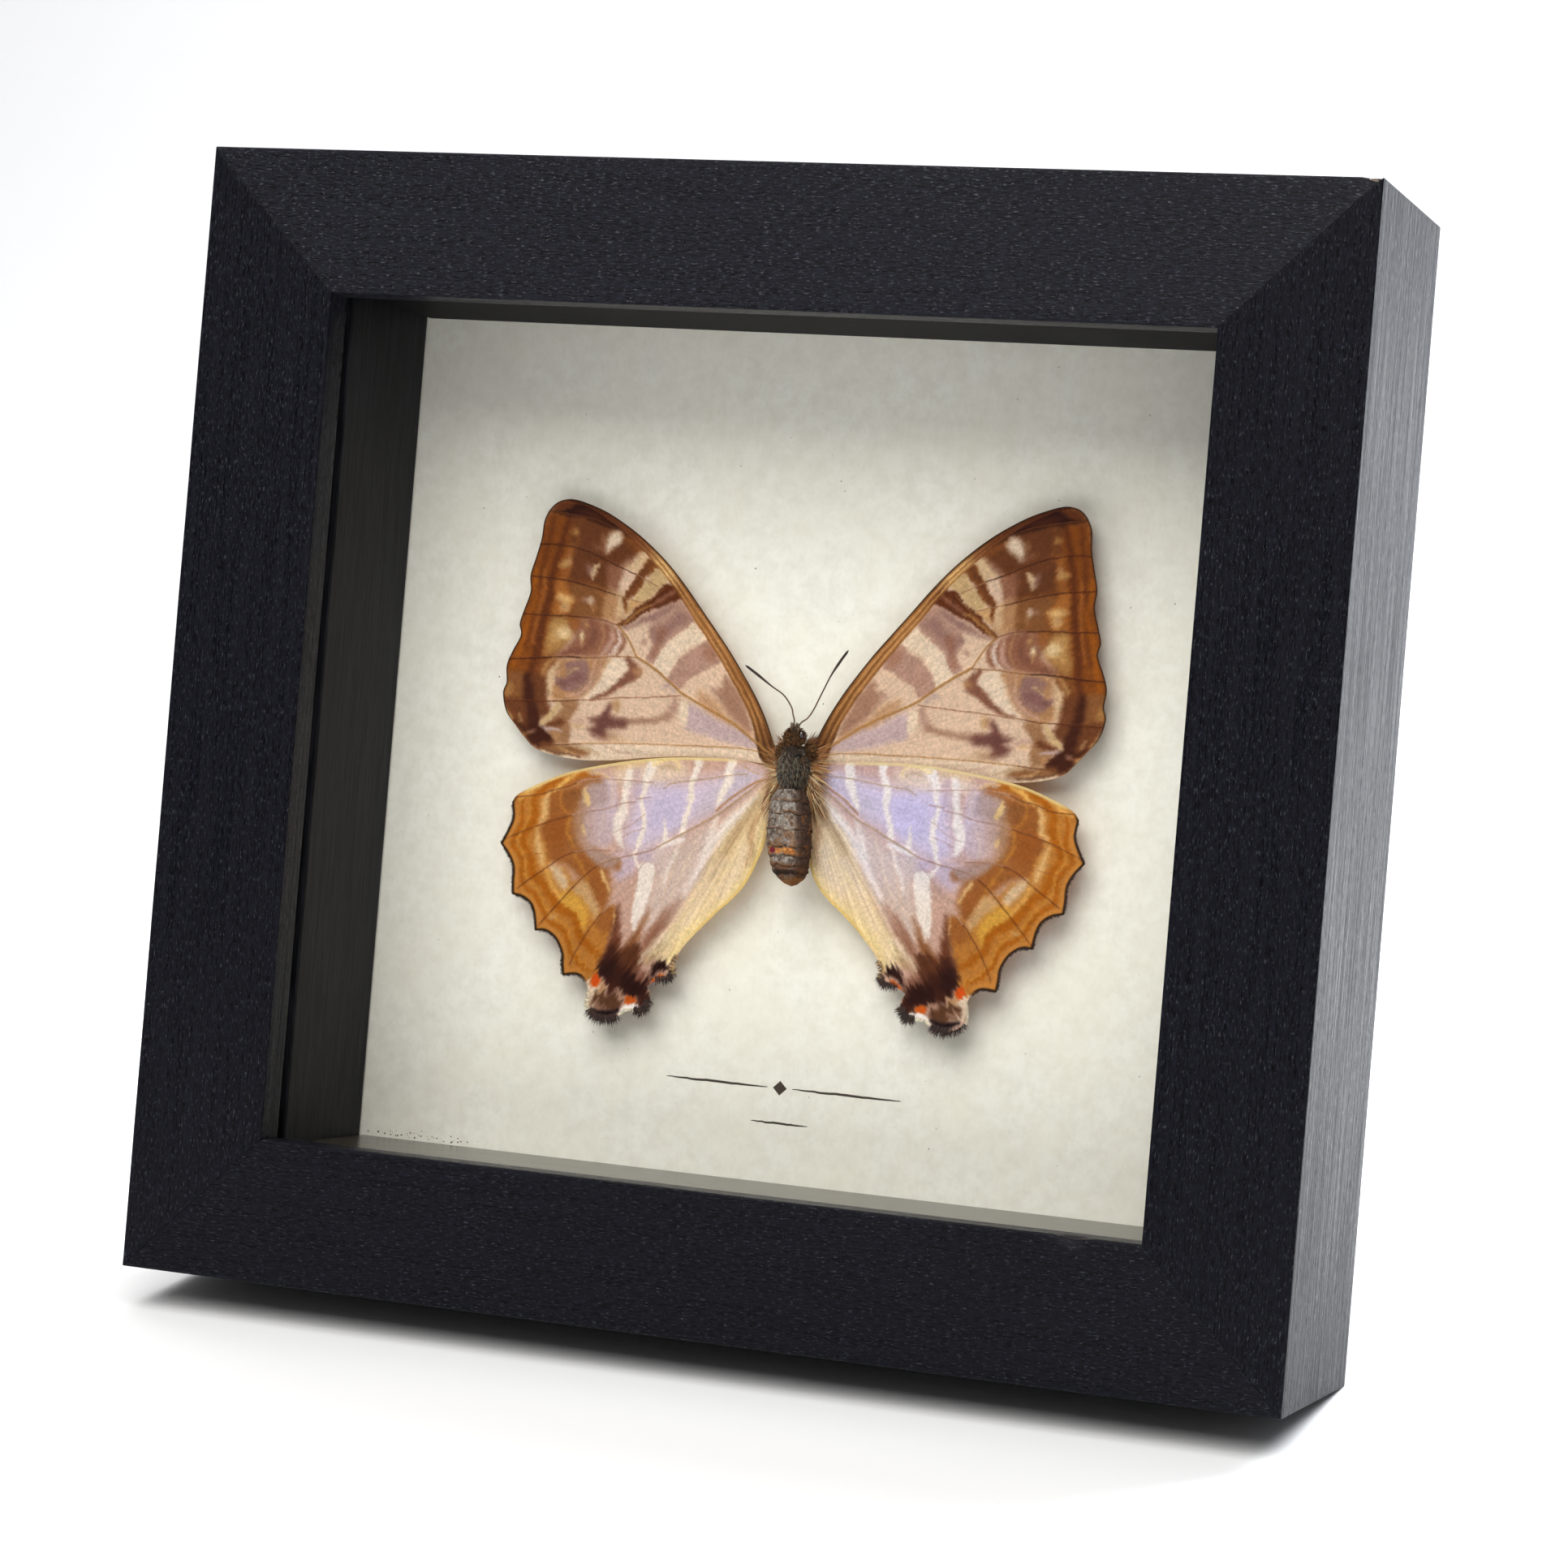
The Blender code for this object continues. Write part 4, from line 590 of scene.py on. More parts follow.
class Material:
    """A Principled material with short names for the nodes that feed it."""

    def __init__(self, name, roughness=0.5, **sockets):
        self.material = bpy.data.materials.new(name)
        self.material.use_nodes = True
        self.tree = self.material.node_tree
        self.shader = self.tree.nodes["Principled BSDF"]
        self.shader.inputs["Roughness"].default_value = roughness
        for socket, value in sockets.items():
            self.shader.inputs[socket.replace("_", " ")].default_value = value

    def node(self, kind, **settings):
        """A new node of a kind, with its settings."""
        made = self.tree.nodes.new(kind)
        for key, value in settings.items():
            setattr(made, key, value)
        return made

    def link(self, source, target):
        self.tree.links.new(source, target)

    def place(self, stretch=(1, 1, 1)):
        """Object coordinates, stretched along each axis."""
        mapping = self.node("ShaderNodeMapping")
        mapping.inputs["Scale"].default_value = stretch
        self.link(self.node("ShaderNodeTexCoord").outputs["Object"], mapping.inputs["Vector"])
        return mapping.outputs["Vector"]

    def noise(self, place, scale, detail=4.0, roughness=0.6, distortion=0.0):
        """Cloudy noise of about 0 to 1 over places."""
        made = self.node("ShaderNodeTexNoise")
        made.inputs["Scale"].default_value = scale
        made.inputs["Detail"].default_value = detail
        made.inputs["Roughness"].default_value = roughness
        made.inputs["Distortion"].default_value = distortion
        self.link(place, made.inputs["Vector"])
        return made.outputs["Fac"]

    def ramp(self, value, *stops):
        """Colours or greys at places along 0 to 1."""
        made = self.node("ShaderNodeValToRGB")
        elements = made.color_ramp.elements
        while len(elements) < len(stops):
            elements.new(1.0)
        for element, (place, colour) in zip(elements, stops):
            element.position = place
            element.color = linear(colour) if isinstance(colour, tuple) else (colour,) * 3 + (1,)
        self.link(value, made.inputs["Fac"])
        return made.outputs["Color"]

    def blend(self, share, first, second, mode="MIX"):
        """Two colours mixed by a share that is a socket or a number."""
        made = self.node("ShaderNodeMix", data_type="RGBA", blend_type=mode)
        for socket, value in ((made.inputs[0], share), (made.inputs[6], first), (made.inputs[7], second)):
            if isinstance(value, bpy.types.NodeSocket):
                self.link(value, socket)
            else:
                socket.default_value = linear(value) if isinstance(value, tuple) else value
        return made.outputs[2]

    def cover(self, colour, tone, noise, low, high, share=1.0):
        """Lays a tone over a colour where a noise rises from low to high, up to a share."""
        return self.blend(self.ramp(noise, (low, 0.0), (high, share)), colour, tone)

    def span(self, value, low, high):
        """A share of 0 to 1 turned into a range."""
        made = self.node("ShaderNodeMapRange")
        made.inputs["To Min"].default_value = low
        made.inputs["To Max"].default_value = high
        self.link(value, made.inputs["Value"])
        return made.outputs["Result"]

    def bump(self, height, strength, distance):
        """Relief from a height of 0 to 1; distance is in metres."""
        made = self.node("ShaderNodeBump")
        made.inputs["Strength"].default_value = strength
        made.inputs["Distance"].default_value = distance
        self.link(height, made.inputs["Height"])
        self.link(made.outputs["Normal"], self.shader.inputs["Normal"])

    def let_through(self, colour, share):
        """Part of the light goes through to what is behind, as in a thin leaf."""
        thin = self.node("ShaderNodeBsdfTranslucent")
        self.link(colour, thin.inputs["Color"])
        mix_shaders(self.tree, share, self.shader.outputs[0], thin.outputs[0], "Material Output")

    def finish(self, colour, roughness=None):
        """The material, with its colour and roughness joined up."""
        self.link(colour, self.shader.inputs["Base Color"])
        if roughness is not None:
            self.link(roughness, self.shader.inputs["Roughness"])
        return self.material


def frame_wood(name, ground, streak, glint_speck):
    """Stained satin wood: short fine streaks along local X that catch the light, and pale specks that are
    painted highlights.
    """
    m = Material(name, Specular_IOR_Level=0.1)
    grain = m.noise(m.place((700, 3900, 3900)), 1.0, 4.0, 0.65, 0.3)
    pores_and_glints = m.noise(m.place((1150, 4600, 4600)), 1.0, 4.0, 0.75)
    long = m.noise(m.place((30, 1500, 1500)), 1.0, 4.0, 0.6, 0.2)
    colour = m.cover(ground, streak, grain, 0.40, 0.66)
    # painted highlights: pale specks where the pores would catch the light; the same noise gives the pores'
    # bump
    colour = m.cover(colour, glint_speck, pores_and_glints, 0.57, 0.67, 0.6)
    colour = m.cover(colour, streak, long, 0.45, 0.7, 0.4)
    m.bump(m.blend(0.5, grain, pores_and_glints), 0.6, 0.0002)
    return m.finish(colour, m.span(m.blend(0.5, grain, long), -0.4, 1.15))


def spacer_wood(name, ground, streak, stretch, specular=0.12, roughness=(0.42, 0.66)):
    """Black stained strip; stretch is low along its grain."""
    m = Material(name, Specular_IOR_Level=specular)
    grain = m.noise(m.place(stretch), 1.0, 5.0, 0.65, 0.3)
    fine = m.noise(m.place([3 * s for s in stretch]), 1.0, 3.0, 0.6)
    colour = m.cover(ground, streak, grain, 0.38, 0.66)
    colour = m.cover(colour, streak, fine, 0.55, 0.72, 0.7)
    m.bump(fine, 0.3, 0.0001)
    return m.finish(colour, m.span(grain, *roughness))


def paper(name, ground, shade, warm):
    """Mottled parchment with a short fibre."""
    m = Material(name, roughness=0.85, Specular_IOR_Level=0.2)
    cloud = m.noise(m.place(), 85.0, 4.0, 0.6)
    mottle = m.noise(m.place(), 380.0, 5.0, 0.7)
    fibre = m.noise(m.place((2400, 1500, 1100)), 1.0, 4.0, 0.7, 0.5)
    colour = m.cover(ground, shade, mottle, 0.40, 0.64, 0.5)
    colour = m.cover(colour, warm, cloud, 0.38, 0.68, 0.5)
    colour = m.cover(colour, shade, fibre, 0.52, 0.75, 0.4)
    m.bump(m.blend(0.5, mottle, fibre), 0.2, 0.00015)
    return m.finish(colour)


def plain_board(name, ground, shade, scale, roughness=0.7, bump=0.0002, stretch=(1, 1, 1)):
    """Card, fibreboard or foam: two tones mottled together."""
    m = Material(name, roughness=roughness)
    coarse = m.noise(m.place(stretch), scale * 0.15, 4.0, 0.6)
    fine = m.noise(m.place(stretch), scale, 6.0, 0.7)
    colour = m.cover(ground, shade, fine, 0.35, 0.7)
    colour = m.cover(colour, shade, coarse, 0.4, 0.75, 0.5)
    m.bump(fine, 0.4, bump)
    return m.finish(colour)


def steel(name, ground, shade):
    """Brushed sheet steel with faint stains."""
    m = Material(name, Metallic=1.0)
    brushed = m.noise(m.place((300, 2500, 4500)), 1.0, 4.0, 0.6)
    stain = m.noise(m.place(), 420.0, 4.0, 0.6)
    colour = m.cover(ground, shade, stain, 0.45, 0.75, 0.8)
    m.bump(brushed, 0.15, 0.0001)
    return m.finish(colour, m.span(brushed, 0.24, 0.48))


def glass(name):
    """A thin clear pane: see-through, with a faint reflection that grows at a glance."""
    material = bpy.data.materials.new(name)
    material.use_nodes = True
    tree = material.node_tree
    tree.nodes.remove(tree.nodes["Principled BSDF"])
    clear = tree.nodes.new("ShaderNodeBsdfTransparent")
    clear.inputs["Color"].default_value = (0.985, 0.992, 0.988, 1)
    gloss = tree.nodes.new("ShaderNodeBsdfGlossy")
    gloss.inputs["Roughness"].default_value = 0.02
    fresnel = tree.nodes.new("ShaderNodeFresnel")
    fresnel.inputs["IOR"].default_value = 1.1
    mix_shaders(tree, fresnel.outputs[0], clear.outputs[0], gloss.outputs[0], "Material Output")
    return material


def painted(name, roughness, grain, grain_scale, sheen=0.0, bump=0.1, specular=0.3, thin=0.0):
    """Colours held by the mesh, broken up by a fine grain like scales or hair; thin lets light through."""
    m = Material(name, roughness=roughness, Specular_IOR_Level=specular, Sheen_Weight=sheen)
    held = m.node("ShaderNodeAttribute", attribute_name="paint").outputs["Color"]
    scales = m.noise(m.place(), grain_scale, 2.0, 0.6)
    clumps = m.noise(m.place(), grain_scale * 0.3, 2.0, 0.6)
    tone = m.blend(0.4, scales, clumps)
    shade = m.ramp(tone, (0.3, 1.0 - grain), (0.7, 1.0 + grain))
    m.bump(scales, bump, 0.0001)
    colour = m.blend(1.0, held, shade, "MULTIPLY")
    if thin:
        m.let_through(m.blend(1.0, colour, (255, 222, 160), "MULTIPLY"), thin)
    return m.finish(colour)


def glossy_dark(name, ground, shade, roughness):
    """The dark facets of an eye, under a clear coat."""
    m = Material(name, roughness=roughness, Coat_Weight=0.5)
    facets = m.noise(m.place(), 9000.0, 1.0, 0.5)
    m.bump(facets, 0.1, 0.00005)
    return m.finish(m.cover(ground, shade, facets, 0.4, 0.65))


# ---------------------------------------------------------------- mesh helpers


def new_object(name, data):
    """An object in the scene round a mesh, a lamp or a camera."""
    made = bpy.data.objects.new(name, data)
    bpy.context.scene.collection.objects.link(made)
    return made


def add_mesh(name, points, faces, material, replaces=(), colours=None, smooth=True):
    """A piece from points in metres; colours are sRGB 0 to 255, one for each point."""
    mesh = bpy.data.meshes.new(name)
    mesh.from_pydata([tuple(p) for p in points], [], [tuple(f) for f in faces])
    mesh.update()
    if colours is not None:
        paint = mesh.color_attributes.new("paint", "FLOAT_COLOR", "POINT")
        paint.data.foreach_set("color", linear(colours).ravel())
    mesh.polygons.foreach_set("use_smooth", [smooth] * len(mesh.polygons))
    mesh.materials.append(material)
    return settle(new_object(name, mesh), replaces)


def settle(piece, replaces=()):
    """Fixes a piece to the root and the CAD nodes that it replaces."""
    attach(piece, "root")
    if replaces:
        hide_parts(*replaces)
    return piece


def at(x, z, depth):
    """World places from mm beside and above the frame's middle, and depths in mm."""
    return np.stack(np.broadcast_arrays(x * MM, FRONT_Y + depth * MM, MIDDLE_Z + z * MM), -1)


def grid_faces(rows, columns, closed=False):
    """Quads over a grid of points laid row by row; closed joins each row's ends."""
    last = columns if closed else columns - 1
    row, column = np.mgrid[0 : rows - 1, 0:last]
    a = row * columns + column
    b = row * columns + (column + 1) % columns
    return np.stack([a, b, b + columns, a + columns], -1).reshape(-1, 4)


def smooth_path(points, closed=False, steps=6):
    """A smooth curve through points."""
    p = np.array([q[:2] for q in points], float)
    if len(p) == 2 and not closed:
        return p
    if closed:
        a, b, c, d = np.roll(p, 1, 0), p, np.roll(p, -1, 0), np.roll(p, -2, 0)
    else:
        ends = np.vstack([2 * p[0] - p[1], p, 2 * p[-1] - p[-2]])
        a, b, c, d = ends[:-3], ends[1:-2], ends[2:-1], ends[3:]
    runs = [
        b + (c - a) * t / 2 + (2 * a - 5 * b + 4 * c - d) * t**2 / 2 + (3 * (b - c) + d - a) * t**3 / 2
        for t in np.arange(steps) / steps
    ]
    path = np.stack(runs, 1).reshape(-1, 2)
    return path if closed else np.vstack([path, p[-1]])


def outline_path(points, steps=8):
    """A closed outline: smooth, but sharp at points that carry a third value."""
    p = np.array([q[:2] for q in points], float)
    corner = np.array([len(q) > 2 for q in points])[:, None]
    after = np.roll(p, -1, 0)
    tangent = (after - np.roll(p, 1, 0)) / 2
    chord = (after - p) * 0.9
    start = np.where(corner, chord, tangent)
    end = np.where(np.roll(corner, -1, 0), chord, np.roll(tangent, -1, 0))
    runs = [
        (2 * t**3 - 3 * t**2 + 1) * p + (t**3 - 2 * t**2 + t) * start
        + (3 * t**2 - 2 * t**3) * after + (t**3 - t**2) * end
        for t in np.arange(steps) / steps
    ]
    return np.stack(runs, 1).reshape(-1, 2)


def distance_along(points, path, closed=False):
    """Each point's distance from a path, its share along it, and its nearest place on it."""
    ends = np.roll(path, -1, 0) if closed else path[1:]
    starts = path if closed else path[:-1]
    lengths = np.linalg.norm(ends - starts, axis=1)
    best = np.full(len(points), 1e9)
    along = np.zeros(len(points))
    nearest = np.zeros((len(points), 2))
    run = 0.0
    for start, end, length in zip(starts, ends, lengths):
        if length < 1e-9:
            continue
        way = (end - start) / length
        away = points - start
        t = np.clip(away @ way, 0, length)
        spot = start + t[:, None] * way
        gap = np.hypot(*(points - spot).T)
        near = gap < best
        best[near] = gap[near]
        along[near] = (run + t[near]) / lengths.sum()
        nearest[near] = spot[near]
        run += length
    return best, along, nearest


def inside(points, path):
    """Which points lie inside a closed path."""
    x, y = points.T
    odd = np.zeros(len(points), bool)
    for (x0, y0), (x1, y1) in zip(path, np.roll(path, -1, 0)):
        if y0 != y1:
            odd ^= ((y0 > y) != (y1 > y)) & (x < x0 + (y - y0) * (x1 - x0) / (y1 - y0))
    return odd


def ease(t):
    """A soft step: 0 below 0, 1 above 1."""
    t = np.clip(t, 0, 1)
    return t * t * (3 - 2 * t)


class Noise:
    """Smooth value noise of -1 to 1 over the plane, from a seeded table."""

    def __init__(self, seed):
        self.table = np.random.RandomState(seed).rand(256, 256)

    def __call__(self, p, size, shift=0.0):
        q = p / size + 40 + shift * 17.3
        cell = np.floor(q).astype(int)
        f = ease(q - cell)
        i, j = (cell % 256).T
        i1, j1 = (i + 1) % 256, (j + 1) % 256
        low = self.table[i, j] * (1 - f[:, 0]) + self.table[i1, j] * f[:, 0]
        high = self.table[i, j1] * (1 - f[:, 0]) + self.table[i1, j1] * f[:, 0]
        return (low * (1 - f[:, 1]) + high * f[:, 1]) * 2 - 1


# ---------------------------------------------------------------- wings


class WingPaint:
    """Colours over a wing's points, laid on like paint: strokes, areas and spots."""

    def __init__(self, points, ground, seed, root, comb):
        """root is where the rows of scales start; comb is how far they draw an edge out, in mm."""
        self.noise = Noise(seed)
        self.points = points.copy()
        for size, reach, shift in ((1.3, 0.12, 0), (0.45, 0.09, 5), (0.15, 0.11, 9)):
            shove = [self.noise(points, size, shift), self.noise(points, size, shift + 2)]
            self.points += reach * np.stack(shove, 1)
        away = points - np.array(root)
        reach = np.hypot(*away.T)
        angle = np.degrees(np.arctan2(*away.T))
        rows = self.noise(np.stack([angle * 2.2, reach * 0.2], 1), 1.0, 21)
        rows += 0.6 * self.noise(np.stack([angle * 4.6, reach * 0.3], 1), 1.0, 23)
        self.points += away * (comb * rows / np.maximum(reach, 1))[:, None]
        self.colours = np.tile(np.array(PALETTE[ground], float), (len(points), 1))

    def settle_points(self, points):
        """Puts the points near their true places, for lines that run clean."""
        self.points = points + 0.35 * (self.points - points)

    def mix(self, rows, colour, mask):
        """Mixes a colour, or one that the palette names, into some rows of the points."""
        tone = np.array(PALETTE.get(colour, colour), float)
        self.colours[rows] += (tone - self.colours[rows]) * mask[:, None]

    def near(self, path, reach):
        """The rows of the points that lie within reach of a path's box."""
        low, high = path.min(0) - reach, path.max(0) + reach
        return np.nonzero(((self.points > low) & (self.points < high)).all(1))[0]

    def stroke(self, colour, widths, soft, strength, points):
        """A line through points, its widths and strengths spread evenly along it."""
        soft *= SOFTEN
        path = smooth_path(points)
        widths, strengths = np.atleast_1d(widths), np.atleast_1d(strength)
        rows = self.near(path, widths.max() + soft)
        gap, along, _ = distance_along(self.points[rows], path)
        half = np.interp(along, np.linspace(0, 1, len(widths)), widths) / 2
        power = np.interp(along, np.linspace(0, 1, len(strengths)), strengths)
        self.mix(rows, colour, ease((half + soft - gap) / (2 * soft)) * power)

    def area(self, colour, soft, strength, points):
        """A closed smooth shape round points."""
        soft *= SOFTEN
        path = smooth_path(points, closed=True)
        rows = self.near(path, soft)
        gap, _, _ = distance_along(self.points[rows], path, closed=True)
        gap = np.where(inside(self.points[rows], path), gap, -gap)
        self.mix(rows, colour, ease((gap + soft) / (2 * soft)) * strength)

    def spot(self, colour, soft, strength, centre, radii, turn):
        """An ellipse; turn is in degrees."""
        soft *= SOFTEN
        angle = math.radians(turn)
        x, y = (self.points - np.array(centre)).T
        across = (x * math.cos(angle) + y * math.sin(angle)) / radii[0]
        up = (y * math.cos(angle) - x * math.sin(angle)) / radii[1]
        gap = (1 - np.hypot(across, up)) * min(radii)
        rows = np.nonzero(gap > -soft)[0]
        self.mix(rows, colour, ease((gap[rows] + soft) / (2 * soft)) * strength)

    def lay(self, marks):
        """Lays marks on one over another."""
        for kind, *values in marks:
            getattr(self, kind)(*values)

    def dust(self, points, root, amount):
        """Rows of scales: fine streaks that run out from the wing's root, and loose dark scales."""
        away = points - np.array(root)
        reach = np.hypot(*away.T)
        angle = np.degrees(np.arctan2(*away.T))
        rows = self.noise(np.stack([angle * 1.1, reach * 0.16], 1), 1.0, 2)
        rows += 0.8 * self.noise(np.stack([angle * 2.9, reach * 0.4], 1), 1.0, 9)
        grain = self.noise(points, 0.16, 13) + 0.8 * self.noise(points, 0.3, 15)
        loose = ease((self.noise(points, 0.13, 17) - 0.5) / 0.4)
        self.colours *= (1 + amount * (0.5 * rows + grain) - 1.4 * amount * loose)[:, None]
        self.colours[:] = 255 * np.clip(self.colours * WING_LIFT / 255, 0, 1) ** WING_DEPTH_OF_TONE


def fade(stops, share):
    """Colours between stops of (share, colour)."""
    places = [stop[0] for stop in stops]
    tones = np.array([stop[1] for stop in stops], float)
    return np.stack([np.interp(share, places, tones[:, i]) for i in range(3)], 1)


def wing_grid(outline, cell):
    """Points and faces that fill an outline, with the edge points moved onto it."""
    path = outline_path(outline)
    low, high = path.min(0) - cell, path.max(0) + cell
    columns, rows = np.ceil((high - low) / cell).astype(int) + 1
    u, v = np.meshgrid(low[0] + np.arange(columns) * cell, low[1] + np.arange(rows) * cell)
    points = np.stack([u.ravel(), v.ravel()], 1)
    gap, _, nearest = distance_along(points, path, closed=True)
    signed = np.where(inside(points, path), gap, -gap)
    edge = np.abs(signed) < cell * 0.5
    points[edge] = nearest[edge]
    kept = signed > -cell * 0.5
    quads = grid_faces(rows, columns)
    count = kept[quads].sum(1)
    faces = [tuple(q) for q in quads[count == 4]]
    faces += [tuple(q[kept[q]]) for q in quads[count == 3]]
    used = np.zeros(len(points), bool)
    for face in faces:
        used[list(face)] = True
    index = np.cumsum(used) - 1
    faces = [tuple(index[list(face)]) for face in faces]
    return points[used], faces, np.abs(np.where(edge, 0, signed))[used]


def vein_relief(points, veins):
    """Height in mm of the raised veins."""
    height = np.zeros(len(points))
    for width, _, line in veins:
        gap, _, _ = distance_along(points, smooth_path(line, steps=4))
        height = np.maximum(height, (0.03 + 0.35 * width) * np.exp(-((gap / (0.06 + width / 2)) ** 2)))
    return height


def paint_forewing(points, edge, seed):
    """Colours and relief of a forewing; edge is each point's distance from the margin."""
    paint = WingPaint(points, FORE_GROUND, seed, FORE_ROOT, 0.1)
    paint.lay(FORE_MARKS)
    paint.settle_points(points)
    gap, share, _ = distance_along(paint.points, smooth_path(RIB_LINE))
    depth = gap / np.interp(share, *RIB_WIDTHS)
    mask = ease((1.08 - depth) / 0.16)
    wave = 0.5 + 0.5 * np.cos(depth * 16.3 + 0.4)
    rib = np.clip(wave + 0.35 * paint.noise(np.stack([gap * 6, share * 14], 1), 1.0, 4), 0, 1)
    tone = fade(RIB_DARK, share) + (fade(RIB_LIGHT, share) - fade(RIB_DARK, share)) * rib[:, None]
    paint.colours += (tone - paint.colours) * (mask * 0.95)[:, None]
    for width, colour, line in FORE_VEINS:
        paint.stroke(colour, width, VEIN_SOFT, VEIN_STRENGTH, line)
    paint.dust(points, FORE_ROOT, 0.052)
    rim = ease((0.30 - edge) / 0.2) * ease((points[:, 1] - 1.0) / 3)
    paint.mix(np.arange(len(points)), (48, 30, 20), rim * 0.85)
    relief = vein_relief(points, FORE_VEINS) + mask * (0.06 + 0.05 * wave)
    relief += 0.28 * paint.noise(points, 9.0, 11) + 0.05 * paint.noise(points, 2.6, 12)
    relief += 0.9 * ease((points[:, 0] - 26) / 20) ** 2
    return paint.colours, relief


def paint_hindwing(points, edge, seed):
    """Colours and relief of a hindwing."""
    u, v = points.T
    tail = ease((-v - 22) / 8) * ease((31 - u) / 4)
    paint = WingPaint(points, HIND_GROUND, seed, HIND_ROOT, 0.1 + 0.5 * tail)
    paint.lay(HIND_MARKS)
    paint.settle_points(points)
    paint.lay(TAIL_SPOTS)
    for width, colour, line in HIND_VEINS:
        paint.stroke(colour, width, VEIN_SOFT, VEIN_STRENGTH, line)
    paint.dust(points, HIND_ROOT, 0.048)
    every = np.arange(len(points))
    base = points - np.array(HIND_ROOT)
    reach = np.hypot(*base.T)
    angle = np.degrees(np.arctan2(base[:, 0], -base[:, 1]))
    streak = paint.noise(np.stack([angle * 1.3, reach * 0.10 + angle * 0.05], 1), 1.0, 2)
    streak += 0.6 * paint.noise(np.stack([angle * 3.1, reach * 0.16], 1), 1.0, 9)
    fold = ease((46 - angle) / 18) * ease((reach - 1) / 4) * ease((36 - reach) / 6)
    paint.colours += (streak * (2 + 11 * fold))[:, None]
    scallop = ease((0.42 - edge) / 0.2) * ease((u - 27.5) / 1.5) * ease((-v - 8) / 1.5)
    paint.mix(every, (44, 30, 20), scallop * 0.95)
    inner = ease((0.40 - np.abs(edge - 0.62)) / 0.3) * ease((u - 27.5) / 1.5) * ease((-v - 9) / 2)
    paint.mix(every, (206, 138, 66), inner * 0.5)
    rim = ease((0.55 - edge) / 0.3) * ease((9 - np.abs(u - 6)) / 4) * ease((-v - 9) / 4)
    paint.mix(every, (226, 190, 112), rim * 0.8 * ease((20 - u) / 6))
    front = ease((0.5 - edge) / 0.25) * ease((v + 8.5) / 1.5) * ease((u - 6) / 6)
    paint.mix(every, (228, 202, 140), front * 0.9)
    relief = vein_relief(points, HIND_VEINS) + 0.10 * fold * streak
    relief += 0.30 * paint.noise(points, 8.0, 11) + 0.04 * paint.noise(points, 2.2, 12)
    relief += 0.45 * ease((40 - angle) / 30) * np.sin(np.radians(angle * 9)) * ease((reach - 2) / 6)
    return paint.colours, relief


def cool_disc(points, colours):
    """Turns the middle of a hindwing a little towards blue."""
    u, v = points.T
    disc = ease((u - 3) / 4) * ease((30 - u) / 5) * ease((v + 22) / 8)
    colours += disc[:, None] * np.array((-5, 1, 14))


def place_wing(points, relief, side, setting, depth):
    """World places of wing points; relief raises them towards the glass."""
    (a, b, c), (d, e, f) = setting
    u, v = points.T
    return at(side * (a * u + b * v + c), d * u + e * v + f, depth - relief)


def make_wings():
    """Both pairs of wings; the right ones are the left ones mirrored, reset and grained afresh."""
    fore_scales = painted("forewing_scales", 0.6, 0.16, 9000.0, specular=0.06, thin=0.18)
    hind_scales = painted("hindwing_scales", 0.6, 0.14, 9000.0, specular=0.06, thin=0.18)
    fore = ("forewing_scales", fore_scales, wing_grid(FOREWING_OUTLINE, WING_CELL), FOREWING_DEPTH)
    hind = ("hindwing_scales", hind_scales, wing_grid(HINDWING_OUTLINE, WING_CELL), HINDWING_DEPTH)
    for node, kind, side, setting, paint_wing, seed in (
        ("forewing_left", fore, -1, AS_DRAWN, paint_forewing, 11),
        ("hindwing_left", hind, -1, AS_DRAWN, paint_hindwing, 12),
        ("forewing_right", fore, 1, FOREWING_RIGHT_SET, paint_forewing, 23),
        ("hindwing_right", hind, 1, HINDWING_RIGHT_SET, paint_hindwing, 24),
    ):
        slot, scales, (points, faces, edge), depth = kind
        colours, relief = paint_wing(points, edge, seed)
        if node == "hindwing_right":
            cool_disc(points, colours)
        place = place_wing(points, relief, side, setting, depth)
        add_mesh(f"{node}_scales", place, faces, scales, [node], colours)


# ---------------------------------------------------------------- hairs


def strands(name, roots, ways, lengths, width, colours, material, droop=0.25):
    """Fine tapered blades, each of three faces, standing on roots and leaning along ways."""
    ways = ways / np.linalg.norm(ways, axis=1)[:, None]
    across = np.cross(ways, (0.0, 1.0, 0.0))
    across /= np.maximum(np.linalg.norm(across, axis=1), 1e-6)[:, None]
    half = across * width[:, None] / 2
    sag = np.array((0, 0, -1.0)) * (lengths * droop)[:, None]
    middle = roots + ways * (lengths * 0.55)[:, None] + sag * 0.3
    tip = roots + ways * lengths[:, None] + sag
    points = np.stack([roots - half, roots + half, middle - half * 0.7, middle + half * 0.7, tip], 1)
    first = np.arange(len(roots))[:, None] * 5
    pattern = np.array([(0, 1, 3), (0, 3, 2), (2, 3, 4)])
    faces = (first[:, :, None] + pattern).reshape(-1, 3)
    tones = np.repeat(colours, 5, axis=0)
    return add_mesh(name, points.reshape(-1, 3), faces, material, colours=tones)


def pick_tones(random, count, *tones):
    """Random colours near the given ones."""
    base = np.array(tones, float)[random.randint(0, len(tones), count)]
    return base * random.uniform(0.75, 1.2, (count, 1)) + random.uniform(-6, 6, (count, 3))


def above_hindwing(points, side, setting):
    """World places a tenth of a millimetre in front of points of a hindwing."""
    return place_wing(points, np.full(len(points), 0.1), side, setting, HINDWING_DEPTH)


